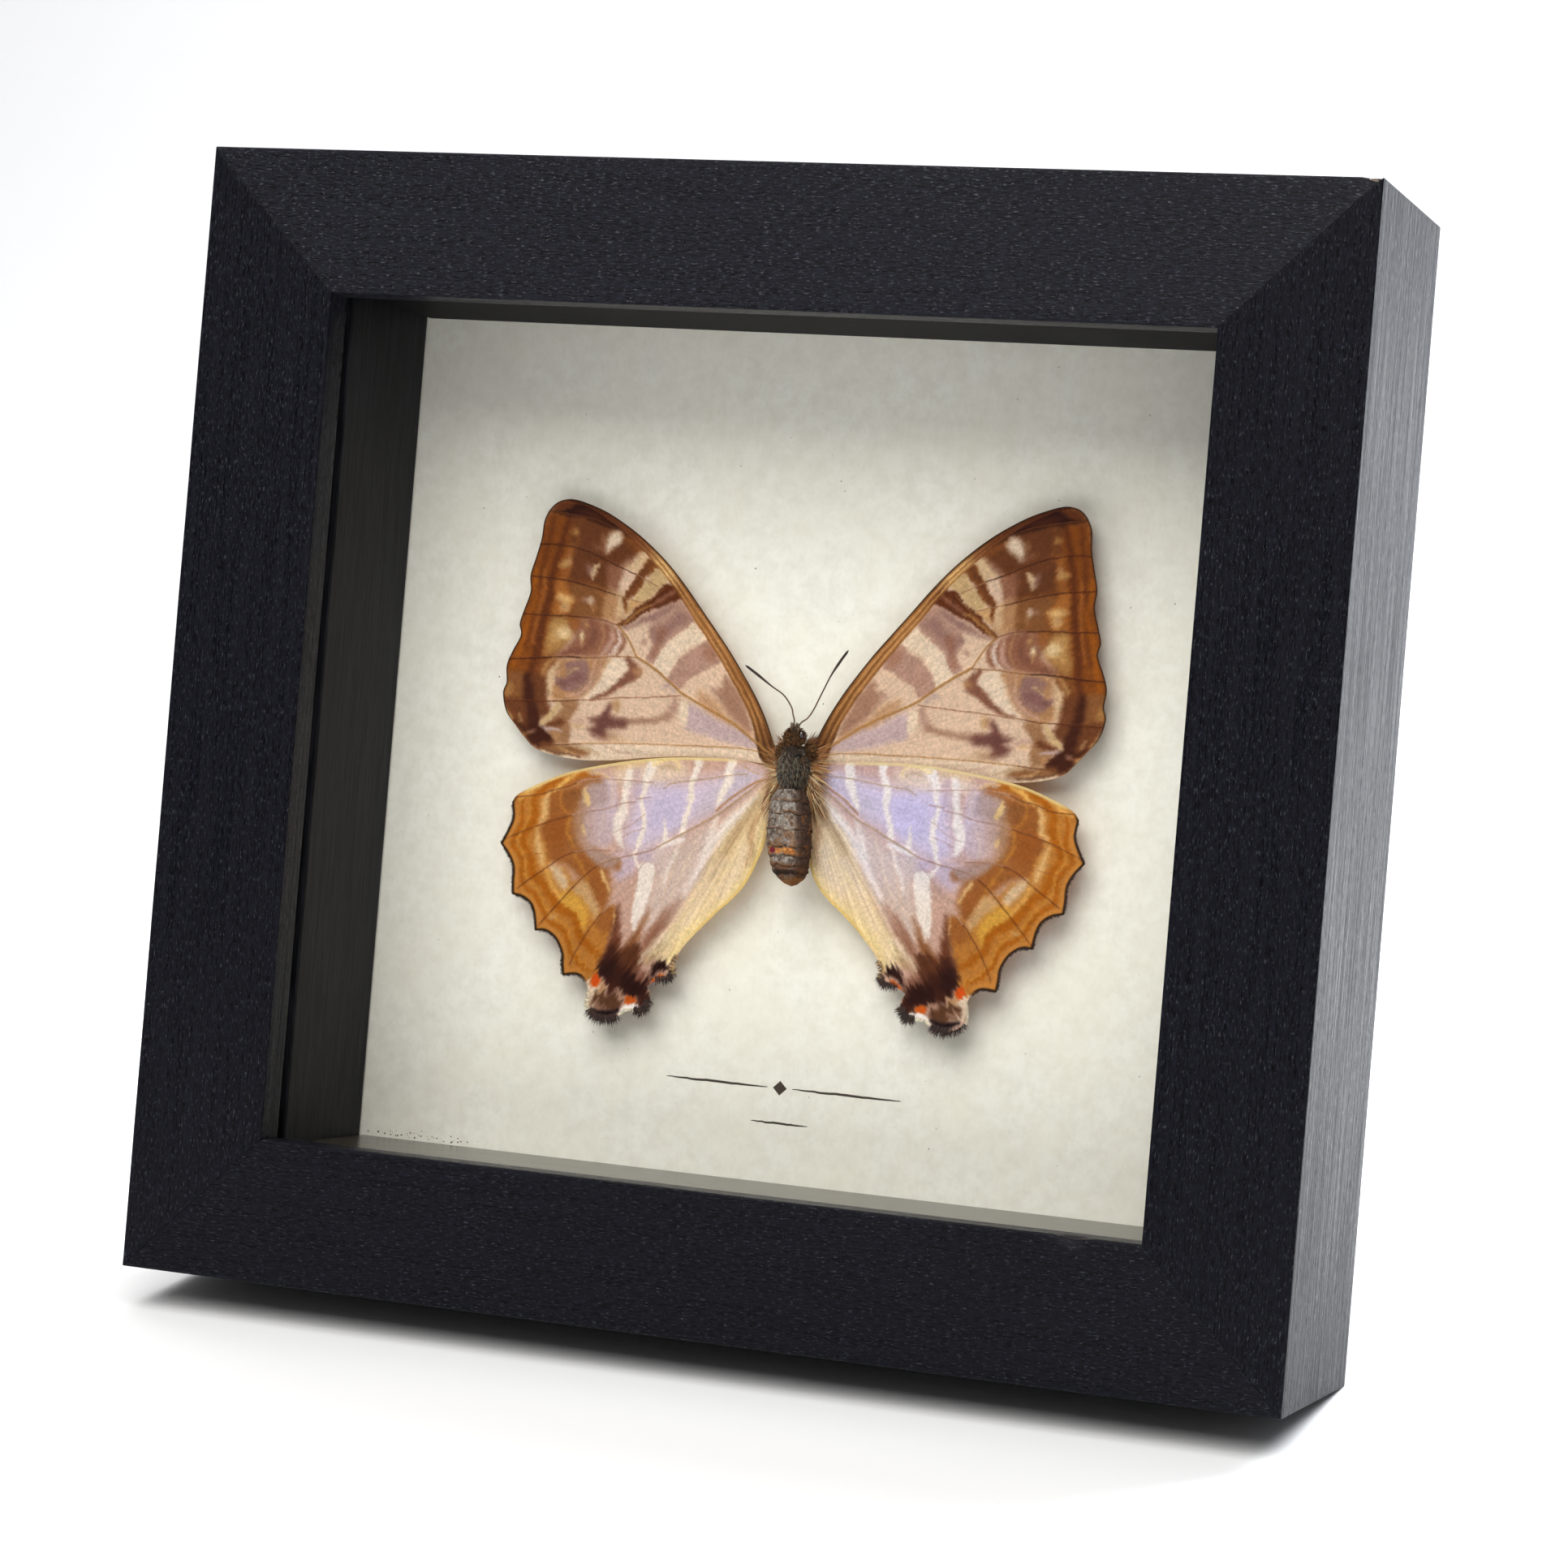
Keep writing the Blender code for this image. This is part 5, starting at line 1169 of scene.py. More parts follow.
def fringe(name, spans, side, setting, material, seed):
    """Hairs along parts of the hindwing's margin: (from, to, count, length, how far in, tones) each."""
    random = np.random.RandomState(seed)
    path = outline_path(HINDWING_OUTLINE, steps=16)
    middle = path.mean(0)
    roots, ways, lengths, tones = [], [], [], []
    for start, end, count, length, inward, *colours in spans:
        first = np.argmin(np.hypot(*(path - start).T))
        last = np.argmin(np.hypot(*(path - end).T))
        place = random.uniform(first, last, count)
        low = np.floor(place).astype(int)
        spot = path[low] + (path[(low + 1) % len(path)] - path[low]) * (place - low)[:, None]
        along = path[(low + 2) % len(path)] - path[low - 2]
        out = np.stack([along[:, 1], -along[:, 0]], 1)
        out /= np.linalg.norm(out, axis=1)[:, None]
        out *= np.sign(((spot - middle) * out).sum(1))[:, None]
        spot = spot - out * random.uniform(0, inward, count)[:, None]
        lean = out + random.normal(0, 0.28, (count, 2)) + np.array((0, -0.25))
        here = above_hindwing(spot, side, setting)
        there = above_hindwing(spot + lean, side, setting)
        roots.append(here)
        ways.append(there - here + random.normal(0, 0.15 * MM, (count, 3)))
        lengths.append(random.uniform(0.5, 1.1, count) * length * MM)
        tones.append(pick_tones(random, count, *colours))
    roots, ways = np.concatenate(roots), np.concatenate(ways)
    lengths = np.concatenate(lengths)
    width = np.full(len(roots), 0.07 * MM)
    strands(name, roots, ways, lengths, width, np.concatenate(tones), material, 0.05)


# ---------------------------------------------------------------- body


def lump(name, centre, radii, seed, tones_of, material, replaces, rough):
    """A rough ellipsoid in mm; tones_of takes places beside and above the centre, and the noise."""
    columns, rows = 128, 96
    noise = Noise(seed)
    turn, rise = np.meshgrid(
        np.linspace(0, 2 * np.pi, columns, endpoint=False), np.linspace(-np.pi / 2, np.pi / 2, rows)
    )
    turn, rise = turn.ravel(), rise.ravel()
    way = np.stack([np.sin(turn) * np.cos(rise), -np.cos(turn) * np.cos(rise), np.sin(rise)], 1)
    flat = way[:, [0, 2]] * radii[0] + 0.6 * way[:, [1, 1]]
    swell = 1 + rough * (noise(flat, 1.3) + 0.7 * noise(flat, 0.5, 2) + 0.5 * noise(flat, 0.22, 5))
    local = way * np.array(radii) * swell[:, None]
    points = at(*centre) + local * MM
    tones = tones_of(local[:, [0, 2]], noise)
    faces = grid_faces(rows, columns, closed=True)
    return add_mesh(name, points, faces, material, replaces, tones)


def lay(tones, colour, mask):
    """Mixes a colour into tones where a mask of 0 to 1 allows."""
    tones += (np.array(colour, float) - tones) * np.clip(mask, 0, 1)[:, None]


def combed(place, noise, shift=0.0):
    """Noise drawn out downward, like combed down."""
    return noise(place * (3.4, 0.9), 1.0, shift) + 0.7 * noise(place * (7.5, 2.2), 1.0, shift + 3)


THORAX_DARK_SPOTS = ((-0.75, 1.5, 0.30), (0.25, 0.65, 0.34), (1.15, 1.5, 0.45), (0.9, -1.6, 0.4))


def thorax_tones(place, noise):
    """Grey combed down over brown, with a few near-black spots and painted shade down the right flank."""
    x, z = place.T
    tones = np.tile(np.array((60, 50, 42), float), (len(x), 1))
    lay(tones, (112, 108, 100), ease((combed(place, noise) + 0.35) / 0.7) * ease((1.9 - z) / 1.6) * 0.85)
    lay(tones, (134, 126, 112), ease((combed(place, noise, 7) - 0.25) / 0.5) * ease((0.9 - z) / 1.2) * 0.7)
    lay(tones, (48, 36, 28), ease((z - 0.9) / 1.4) * 0.75)
    # painted shade: the right flank darker, as in shadow
    lay(tones, (56, 42, 32), ease((x - 0.9) / 0.8) * 0.8)
    flank = ease((np.abs(x) - 1.35) / 0.5)
    lay(tones, (112, 78, 46), flank * ease((noise(place, 0.6, 3) + 0.2) / 0.5) * 0.8)
    lay(tones, (40, 30, 26), ease((noise(place, 0.45, 12) - 0.25) / 0.35) * 0.7)
    for spot_x, spot_z, reach in THORAX_DARK_SPOTS:
        away = np.hypot(x - spot_x, z - spot_z) + 0.12 * noise(place, 0.3, 9)
        lay(tones, (12, 9, 9), ease((reach - away) / (reach * 0.5)) * 0.95)
    return tones * (1 + 0.16 * noise(place, 0.12, 3))[:, None]


def head_tones(place, noise):
    """Fox-brown combed down with dark patches, for the head and the shoulders."""
    tones = np.tile(np.array((74, 50, 32), float), (len(place), 1))
    lay(tones, (128, 86, 46), ease((combed(place, noise) + 0.1) / 0.6) * 0.8)
    lay(tones, (36, 26, 20), ease((noise(place, 0.5, 4) - 0.1) / 0.4) * 0.8)
    return tones * (1 + 0.18 * noise(place, 0.12, 3))[:, None]


ABDOMEN_TOP, ABDOMEN_LENGTH = -4.3, 12.9
ABDOMEN_RADII = [
    (0, 1.7), (0.6, 2.15), (1.6, 2.5), (3.2, 2.9), (5.5, 3.05), (8, 2.95), (9.6, 2.75), (10.8, 2.4),
    (11.5, 2.05), (12.1, 1.6), (12.6, 0.95), (12.9, 0.0),
]
ABDOMEN_JOINTS = (1.5, 3.1, 5.4, 7.6, 8.9, 10.3, 11.3)


def make_abdomen(material):
    """The segmented abdomen, its rings overlapping like tiles."""
    rows, columns = 210, 128
    noise = Noise(71)
    drop = np.linspace(0, ABDOMEN_LENGTH, rows)
    spin, fall = np.meshgrid(np.linspace(0, 2 * np.pi, columns, endpoint=False), drop)
    spin, fall = spin.ravel(), fall.ravel()
    flat = np.stack([spin * 3, fall], 1)
    ragged = fall + 0.26 * noise(flat, 1.3, 8) + 0.12 * noise(flat, 0.4, 4)
    width = np.interp(fall, *zip(*ABDOMEN_RADII))
    body = ease(width / 1.2)
    for joint in ABDOMEN_JOINTS:
        rise = np.clip((ragged - joint + 1.1) / 1.1, 0, 1) * (ragged < joint)
        width = width + body * (0.15 * rise**2 - 0.06 * np.exp(-(((ragged - joint - 0.08) / 0.1) ** 2)))
    width *= 1 + 0.04 * noise(flat, 1.4) + 0.032 * noise(flat, 0.45, 3) + 0.018 * noise(flat, 0.17, 5)
    x = 0.85 + 1.1 * (fall / ABDOMEN_LENGTH) ** 1.8 + width * np.sin(spin)
    z = ABDOMEN_TOP - fall + 0.12 * noise(flat, 0.9, 6)
    depth = 26.0 - 0.82 * width * np.cos(spin)
    points = at(x, z, depth)
    tones = np.tile(np.array((118, 106, 98), float), (len(x), 1))
    lay(tones, (158, 150, 144), ease((noise(flat, 0.62, 2) + 0.25) / 0.5) * 0.7)
    lay(tones, (74, 60, 52), ease((noise(flat, 0.42, 4) - 0.1) / 0.4) * 0.75)
    lay(tones, (182, 172, 160), ease((noise(flat, 0.2, 11) - 0.35) / 0.3) * 0.6)
    lay(tones, (126, 84, 54), ease((noise(flat, 0.8, 15) - 0.05) / 0.5) * ease((fall - 2) / 4) * 0.55)
    for joint in ABDOMEN_JOINTS:
        patchy = 0.3 + 0.7 * ease((noise(flat, 0.8, 25) + 0.3) / 0.6)
        lay(tones, (116, 76, 46), ease((0.30 - np.abs(ragged - joint + 0.12)) / 0.22) * patchy * 0.8)
        lay(tones, (40, 28, 22), ease((0.14 - np.abs(ragged - joint - 0.08)) / 0.12) * patchy * 0.85)
    broken = ease((noise(flat, 0.7, 7) + 0.75) / 0.5)
    broken *= 0.55 + 0.45 * ease((noise(flat, 0.28, 23) + 0.3) / 0.5)
    lay(tones, (176, 104, 44), ease((0.5 - np.abs(ragged - 8.25)) / 0.25) * broken * 0.92)
    pale = ease((0.2 - np.abs(ragged - 8.2)) / 0.2)
    lay(tones, (222, 170, 98), pale * ease(noise(flat, 0.4, 9) / 0.3) * 0.8)
    red_spot = ease((1.1 - np.hypot((x + 0.45) / 0.55, (z + 12.6) / 0.4)) / 0.3)
    lay(tones, (112, 28, 44), red_spot * (np.cos(spin) > 0))
    # painted shade: the right flank darker, as in shadow
    lay(tones, (58, 38, 28), ease((np.sin(spin) - 0.38) / 0.4) * 0.85)
    glint = ease((noise(flat, 0.3, 17) - 0.1) / 0.5) * ease((noise(flat, 1.4, 21) + 0.2) / 0.6)
    lay(tones, (150, 88, 38), ease((np.sin(spin) - 0.62) / 0.3) * glint * 0.75)
    lay(tones, (96, 58, 34), ease((fall - 9.6) / 1.0) * (0.45 + 0.4 * ease(noise(flat, 0.5, 19) / 0.3)))
    last_ring = ease((0.5 - np.abs(ragged - 11.2)) / 0.3)
    lay(tones, (38, 28, 24), last_ring * ease((0.9 - np.sin(spin)) / 0.6) * 0.85)
    lay(tones, (140, 88, 40), ease((ragged - 11.9) / 0.3) * 0.7)
    tones *= (1 + 0.16 * noise(flat, 0.11, 9))[:, None]
    faces = grid_faces(rows, columns, closed=True)
    add_mesh("abdomen_segments", points, faces, material, ["butterfly_abdomen"], tones)


def make_eye(name, x, z, depth, radius, material):
    """A glossy compound eye, drawn out a little and slightly faceted."""
    bm = bmesh.new()
    bmesh.ops.create_icosphere(bm, subdivisions=4, radius=1.0)
    squash = Matrix.Diagonal((radius * 0.92, radius * 0.9, radius * 1.08, 1.0))
    bmesh.ops.transform(bm, matrix=squash, verts=bm.verts)
    mesh = bpy.data.meshes.new(name)
    bm.to_mesh(mesh)
    bm.free()
    mesh.transform(Matrix.Translation(Vector(at(x, z, depth))) @ Matrix.Scale(MM, 4))
    mesh.polygons.foreach_set("use_smooth", [True] * len(mesh.polygons))
    mesh.materials.append(material)
    settle(new_object(name, mesh))


def down_on(name, centre, radii, count, length, tones, comb, seed, material):
    """Down over the front and sides of an ellipsoid, combed along one way."""
    random = np.random.RandomState(seed)
    way = random.normal(0, 1, (count, 3))
    way[:, 1] = -np.abs(way[:, 1]) + 0.25
    way /= np.linalg.norm(way, axis=1)[:, None]
    roots = at(*centre) + way * np.array(radii) * MM
    lean = way * 0.55 + np.array(comb) + random.normal(0, 0.28, (count, 3))
    lengths = random.uniform(0.5, 1.2, count) * length * MM
    width = random.uniform(0.06, 0.12, count) * MM
    strands(name, roots, lean, lengths, width, pick_tones(random, count, *tones), material)


# Centres as (x, z, depth) and radii as (x, y, z), in mm
THORAX, THORAX_RADII = (0.72, -1.35, 26.6), (2.0, 2.5, 3.15)
HEAD, HEAD_RADII = (0.75, 2.75, 26.2), (1.35, 1.3, 1.2)
ABDOMEN, ABDOMEN_REACH = (0.95, -9.6, 26.0), (2.85, 2.35, 5.6)
SHOULDERS = (
    ("left", (-1.15, 0.7, 27.4), (0.75, 0.8, 0.95), -0.5, 8),
    ("right", (2.5, 0.9, 27.4), (0.8, 0.8, 1.0), 0.5, 9),
)


def make_body():
    """The insect's body: skins, eyes, down, feelers, palps and the tufts at the wings' bases."""
    skin = painted("body_skin", 0.75, 0.34, 7000.0, bump=0.6, specular=0.2)
    down = painted("body_down", 0.7, 0.2, 9000.0, bump=0.0, specular=0.2)
    lump("thorax_skin", THORAX, THORAX_RADII, 5, thorax_tones, skin, ["butterfly_thorax"], 0.07)
    lump("head_skin", HEAD, HEAD_RADII, 6, head_tones, skin, ["butterfly_head"], 0.07)
    make_abdomen(skin)
    eye = glossy_dark("eye_gloss", (26, 15, 11), (58, 32, 18), 0.14)
    make_eye("eye_right", 1.85, 3.1, 25.6, 0.62, eye)
    make_eye("eye_left", -0.3, 3.0, 26.0, 0.55, eye)
    greys = ((50, 41, 35), (100, 94, 85), (38, 30, 26), (92, 68, 46), (124, 115, 99))
    down_on("thorax_down", THORAX, THORAX_RADII, 1700, 0.62, greys, (0.25, 0, -0.8), 5, down)
    browns = ((84, 56, 34), (138, 94, 50), (50, 36, 26))
    down_on("head_down", HEAD, HEAD_RADII, 1100, 0.55, browns, (0, -0.2, 0.4), 6, down)
    ring = ((104, 92, 82), (150, 140, 130), (60, 46, 38), (128, 88, 54))
    down_on("abdomen_down", ABDOMEN, ABDOMEN_REACH, 2600, 0.42, ring, (0, 0, -1.4), 7, down)
    for side_name, centre, radii, _, seed in SHOULDERS:
        lump(f"shoulder_{side_name}", centre, radii, seed, head_tones, skin, [], 0.09)
    for side_name, centre, radii, outward, seed in SHOULDERS:
        comb = (outward, 0, 0.3)
        down_on(f"shoulder_down_{side_name}", centre, radii, 420, 0.8, browns, comb, seed + 2, down)
    feeler = painted("antenna", 0.5, 0.2, 6000.0, bump=0.1)
    for side_name in ANTENNAE:
        make_antenna(side_name, feeler)
    make_palps(down)
    make_wing_base_tufts(down)


# Places along each feeler, as (x, z, depth) in mm
ANTENNAE = {
    "left": [
        (0.55, 3.5, 25.7), (0.45, 4.9, 26.1), (0.1, 5.8, 26.3), (-0.3, 6.8, 26.5), (-1.6, 8.3, 26.7),
        (-3.5, 9.4, 26.9), (-5.7, 10.8, 27.1), (-7.7, 12.0, 27.3),
    ],
    "right": [
        (0.95, 3.5, 25.7), (1.4, 4.7, 26.1), (2.2, 5.4, 26.3), (2.9, 6.6, 26.5), (3.9, 9.1, 26.7),
        (4.8, 11.3, 26.9), (5.8, 13.2, 27.1), (6.9, 15.0, 27.3),
    ],
}


def make_antenna(side_name, material):
    """A thin ringed feeler that thickens into a long club."""
    spots = np.array(ANTENNAE[side_name])
    flat = smooth_path(spots[:, :2], steps=24)
    share = np.linspace(0, 1, len(flat))
    depth = np.interp(share, np.linspace(0, 1, len(spots)), spots[:, 2])
    path = at(*flat.T, depth)
    ahead = np.gradient(path, axis=0)
    ahead /= np.linalg.norm(ahead, axis=1)[:, None]
    across = np.cross(ahead, (0.0, 1.0, 0.0))
    across /= np.linalg.norm(across, axis=1)[:, None]
    out = np.cross(across, ahead)
    radius = np.interp(share, (0, 0.04, 0.7, 0.84, 0.97, 1), (0.15, 0.1, 0.1, 0.19, 0.17, 0.03))
    radius = radius * (1 + 0.10 * np.sin(share * 330)) * MM
    sides = 12
    turn = np.linspace(0, 2 * np.pi, sides, endpoint=False)
    ring = np.cos(turn)[None, :, None] * across[:, None, :] + np.sin(turn)[None, :, None] * out[:, None, :]
    points = (path[:, None, :] + ring * radius[:, None, None]).reshape(-1, 3)
    tones = fade([(0, (60, 42, 30)), (0.3, (104, 76, 48)), (0.7, (72, 52, 36)), (1, (30, 22, 18))], share)
    faces = grid_faces(len(path), sides, closed=True)
    name = f"antenna_{side_name}"
    add_mesh(f"{name}_rings", points, faces, material, [name], np.repeat(tones, sides, axis=0))


def make_palps(material):
    """Two furry palps that point up between the antennae."""
    random = np.random.RandomState(8)
    count = 420
    side = np.where(random.rand(count) < 0.5, -1.0, 1.0)
    rise = random.rand(count)
    x = 1.0 + side * (0.36 - 0.12 * rise) + random.normal(0, 0.09, count)
    z = 3.45 + 0.75 * rise
    depth = 25.2 - 0.25 * rise + random.normal(0, 0.09, count)
    roots = at(x, z, depth)
    ways = np.stack([side * 0.25, np.full(count, -0.15), np.ones(count)], 1)
    ways += random.normal(0, 0.22, (count, 3))
    tones = pick_tones(random, count, (66, 52, 40), (126, 104, 78), (34, 26, 22))
    lengths = random.uniform(0.35, 0.75, count) * MM
    strands("palps", roots, ways, lengths, np.full(count, 0.08 * MM), tones, material, 0.0)


def make_wing_base_tufts(material):
    """Tan hairs that spread from the thorax over the bases of the wings."""
    random = np.random.RandomState(9)
    rust, tan, pale = (150, 92, 50), (188, 138, 88), (222, 194, 150)
    brown, dark = (104, 68, 40), (48, 34, 24)
    tufts = (
        (90, (-1.1, -0.4), (-1.0, 0.35), 3.2, (rust, tan, brown)),
        (90, (-1.2, -1.7), (-1.0, 0.05), 3.4, (rust, tan, pale)),
        (110, (-1.3, -2.6), (-0.8, -0.7), 3.4, (tan, pale, brown)),
        (170, (-1.4, -3.9), (-0.42, -1.0), 5.0, (brown, tan, pale, brown)),
        (90, (-0.9, 1.2), (-0.7, 0.9), 2.2, (dark, brown, rust)),
        (100, (2.5, 0.2), (1.0, 0.45), 3.4, (rust, tan, brown)),
        (90, (2.6, -0.9), (1.0, 0.0), 3.4, (rust, tan, pale)),
        (110, (2.6, -2.2), (0.8, -0.6), 3.2, (tan, pale, brown)),
        (170, (2.7, -3.8), (0.42, -1.0), 5.0, (brown, tan, pale, brown)),
        (90, (2.2, 1.6), (0.7, 0.9), 2.2, (dark, brown, rust)),
    )
    roots, ways, lengths, tones = [], [], [], []
    for count, (x, z), (out, up), length, colours in tufts:
        spot_x, spot_z = x + random.normal(0, 0.3, count), z + random.normal(0, 0.42, count)
        roots.append(at(spot_x, spot_z, random.uniform(27.4, 28.4, count)))
        way = np.stack([np.full(count, out), np.full(count, 0.12), np.full(count, up)], 1)
        ways.append(way + random.normal(0, 0.24, (count, 3)) * (1, 0.25, 1))
        lengths.append(random.uniform(0.35, 1.1, count) * length * MM)
        tones.append(pick_tones(random, count, *colours))
    lengths = np.concatenate(lengths)
    width = random.uniform(0.06, 0.15, len(lengths)) * MM
    strands(
        "wing_base_tufts", np.concatenate(roots), np.concatenate(ways), lengths, width,
        np.concatenate(tones), material, 0.06,
    )


def make_tail_fringes():
    """Black and pale hairs round the tails, and a short fringe along the outer margin."""
    material = painted("fringe_hair", 0.7, 0.15, 9000.0, sheen=0.1, bump=0.0)
    black, brown = (34, 24, 22), (70, 44, 36)
    pale = (232, 216, 190)
    spans = [
        ((27.2, -36.7), (22.8, -37.2), 420, 1.25, 0.7, black, brown),
        ((27.6, -34.2), (27.0, -37.0), 220, 0.6, 0.4, pale, (206, 184, 156)),
        ((20.4, -36.2), (18.4, -34.6), 320, 1.15, 0.8, black, brown),
        ((22.6, -36.9), (20.4, -36.3), 120, 0.35, 0.3, pale, pale),
        ((17.6, -31.9), (15.3, -30.2), 260, 1.0, 0.7, black, brown),
        ((15.2, -30.6), (14.6, -28.2), 140, 0.8, 0.4, brown, (196, 160, 110)),
        ((41.0, -9.6), (42.2, -15.0), 160, 0.3, 0.1, black, brown),
        ((41.8, -15.6), (40.0, -21.8), 200, 0.3, 0.1, black, brown),
        ((39.4, -22.1), (36.1, -26.5), 180, 0.35, 0.1, black, brown),
        ((35.4, -26.6), (31.6, -32.2), 220, 0.35, 0.1, black, brown),
        ((31.2, -32.4), (28.2, -33.0), 120, 0.3, 0.1, black, brown),
    ]
    for side_name, side, setting, seed in (
        ("left", -1, AS_DRAWN, 31),
        ("right", 1, HINDWING_RIGHT_SET, 32),
    ):
        name = f"hindwing_{side_name}_fringe"
        fringe(name, spans, side, setting, material, seed)


# ---------------------------------------------------------------- frame

# The rails' section in mm: RAIL_REBATE is how thick a rail is behind its lip
RAIL_INSET = (RAIL_HIGH.x - RAIL_LOW.x) / MM
RAIL_DEPTH = (RAIL_HIGH.y - RAIL_LOW.y) / MM
RAIL_REBATE = 13.2
LIP = 5.1
RAIL_ROUND = 0.32
SECTION_STEP = 1.6
MITRE_GAP = 0.01


def rail_section():
    """Rail section in mm as (inset, depth), its corners rounded, with points along each side."""
    corners = [
        (0, 0), (RAIL_INSET, 0), (RAIL_INSET, LIP),
        (RAIL_REBATE, LIP), (RAIL_REBATE, RAIL_DEPTH), (0, RAIL_DEPTH),
    ]
    section = []
    count = len(corners)
    for index in range(count):
        here, before, after = (np.array(corners[i % count]) for i in (index, index - 1, index + 1))
        back = (before - here) / np.linalg.norm(before - here)
        ahead = (after - here) / np.linalg.norm(after - here)
        for step in np.linspace(0, 1, 5):
            section.append(here + RAIL_ROUND * ((1 - step) ** 2 * back + step**2 * ahead))
        run = np.linalg.norm(after - here)
        for step in np.arange(SECTION_STEP, run - 1.0, SECTION_STEP):
            section.append(here + ahead * step)
    return np.array(section)


def make_rail(name, node, half_length, turn, location, material, nicks, seed):
    """A mitred rail swept along local X, with worn edges and nicks (place, inset, depth, size, cut)."""
    section = rail_section()
    noise = Noise(seed)
    near_end = np.array((0.99, 0.996, 0.9985, 1.0))
    stations = np.concatenate([-near_end[::-1], np.linspace(-0.98, 0.98, 150), near_end])
    count = len(section)
    share = np.repeat(stations, count)
    inset, depth = np.tile(section, (len(stations), 1)).T
    x = share * (half_length - inset - MITRE_GAP)
    flat = np.stack([x, inset + depth * 1.7], 1)
    drift = 0.035 * noise(flat, 14.0) + 0.012 * noise(flat, 3.0, 2)
    centre_inset, centre_depth = RAIL_INSET / 2, RAIL_DEPTH / 2
    pinch = np.where(np.abs(share) > 0.9995, 0.03, 0.0)
    depth = depth + drift * (depth < LIP) + pinch * (depth < 1)
    inset = inset + pinch * ((inset < 1).astype(float) - (inset > RAIL_INSET - 1))
    for place, cut_inset, cut_depth, size, cut in nicks:
        away = np.sqrt(((x - place) / size) ** 2 + (inset - cut_inset) ** 2 + (depth - cut_depth) ** 2)
        push = cut * ease(1 - away / 1.1)
        inset = inset + push * np.sign(centre_inset - cut_inset)
        depth = depth + push * np.sign(centre_depth - cut_depth)
    inset, depth = np.maximum(inset, 0), np.maximum(depth, 0)
    points = np.stack([x, depth, inset], 1) * MM
    faces = [tuple(face) for face in grid_faces(len(stations), count, closed=True)]
    ends = [tuple(range(count)), tuple(range(len(points) - 1, len(points) - count - 1, -1))]
    mesh = bpy.data.meshes.new(name)
    mesh.from_pydata([tuple(p) for p in points], [], faces + ends)
    mesh.materials.append(material)
    mesh.update()
    bm = bmesh.new()
    bm.from_mesh(mesh)
    bmesh.ops.recalc_face_normals(bm, faces=bm.faces)
    bm.to_mesh(mesh)
    bm.free()
    mesh.polygons.foreach_set("use_smooth", [len(p.vertices) == 4 for p in mesh.polygons])
    piece = new_object(name, mesh)
    piece.matrix_world = Matrix.Translation(Vector(location)) @ Matrix.Rotation(turn, 4, "Y")
    bpy.context.view_layer.update()
    settle(piece, [node])


def make_frame():
    """Four rails; each is (side, half length, turn, middle of its outer edge, wood, nicks, seed)."""
    wood = frame_wood("frame_wood", (3, 3, 7), (14, 15, 25), (78, 79, 89))
    # The top rail's wood is a lighter copy of the same wood: painted light where the lamps' reflection
    # falls on its face.
    lit_top_wood = frame_wood("frame_wood_top_lit", (6, 6, 11), (27, 28, 37), (106, 106, 114))
    width, height = HALF_WIDTH / MM, HALF_HEIGHT / MM
    quarter = math.pi / 2
    for side, half_length, turn, (x, z), material, nicks, seed in (
        ("bottom", width, 0.0, (0, CAD_LOW.z), wood, [(52, RAIL_INSET, 0.2, 3, 0.4)], 41),
        ("top", width, math.pi, (0, CAD_HIGH.z), lit_top_wood, [(-79, 0.2, 0.2, 1.2, 0.5)], 42),
        ("left", height, quarter, (-HALF_WIDTH, MIDDLE_Z), wood, [], 43),
        ("right", height, -quarter, (HALF_WIDTH, MIDDLE_Z), wood, [], 44),
    ):
        node = f"rail_{side}"
        make_rail(f"{node}_wood", node, half_length, turn, (x, FRONT_Y, z), material, nicks, seed)


def make_splinters():
    """Torn fibres of bare wood at the top right corner."""
    random = np.random.RandomState(27)
    count = 46
    x = HALF_WIDTH / MM - 1.1 + random.uniform(-1.2, 0.5, count)
    z = HALF_HEIGHT / MM - 0.3 + random.uniform(-0.15, 0.1, count)
    roots = at(x, z, random.uniform(0.1, 0.9, count))
    back = np.abs(random.normal(0, 0.3, count))
    ways = np.stack([np.ones(count), back, random.normal(-0.1, 0.3, count)], 1)
    lengths = random.uniform(0.15, 0.5, count) * MM
    tones = pick_tones(random, count, (196, 182, 156), (150, 136, 112), (60, 56, 54))
    material = painted("bare_wood", 0.8, 0.2, 6000.0, bump=0.0)
    width = random.uniform(0.08, 0.2, count) * MM
    strands("corner_splinters", roots, ways, lengths, width, tones, material, 0.0)


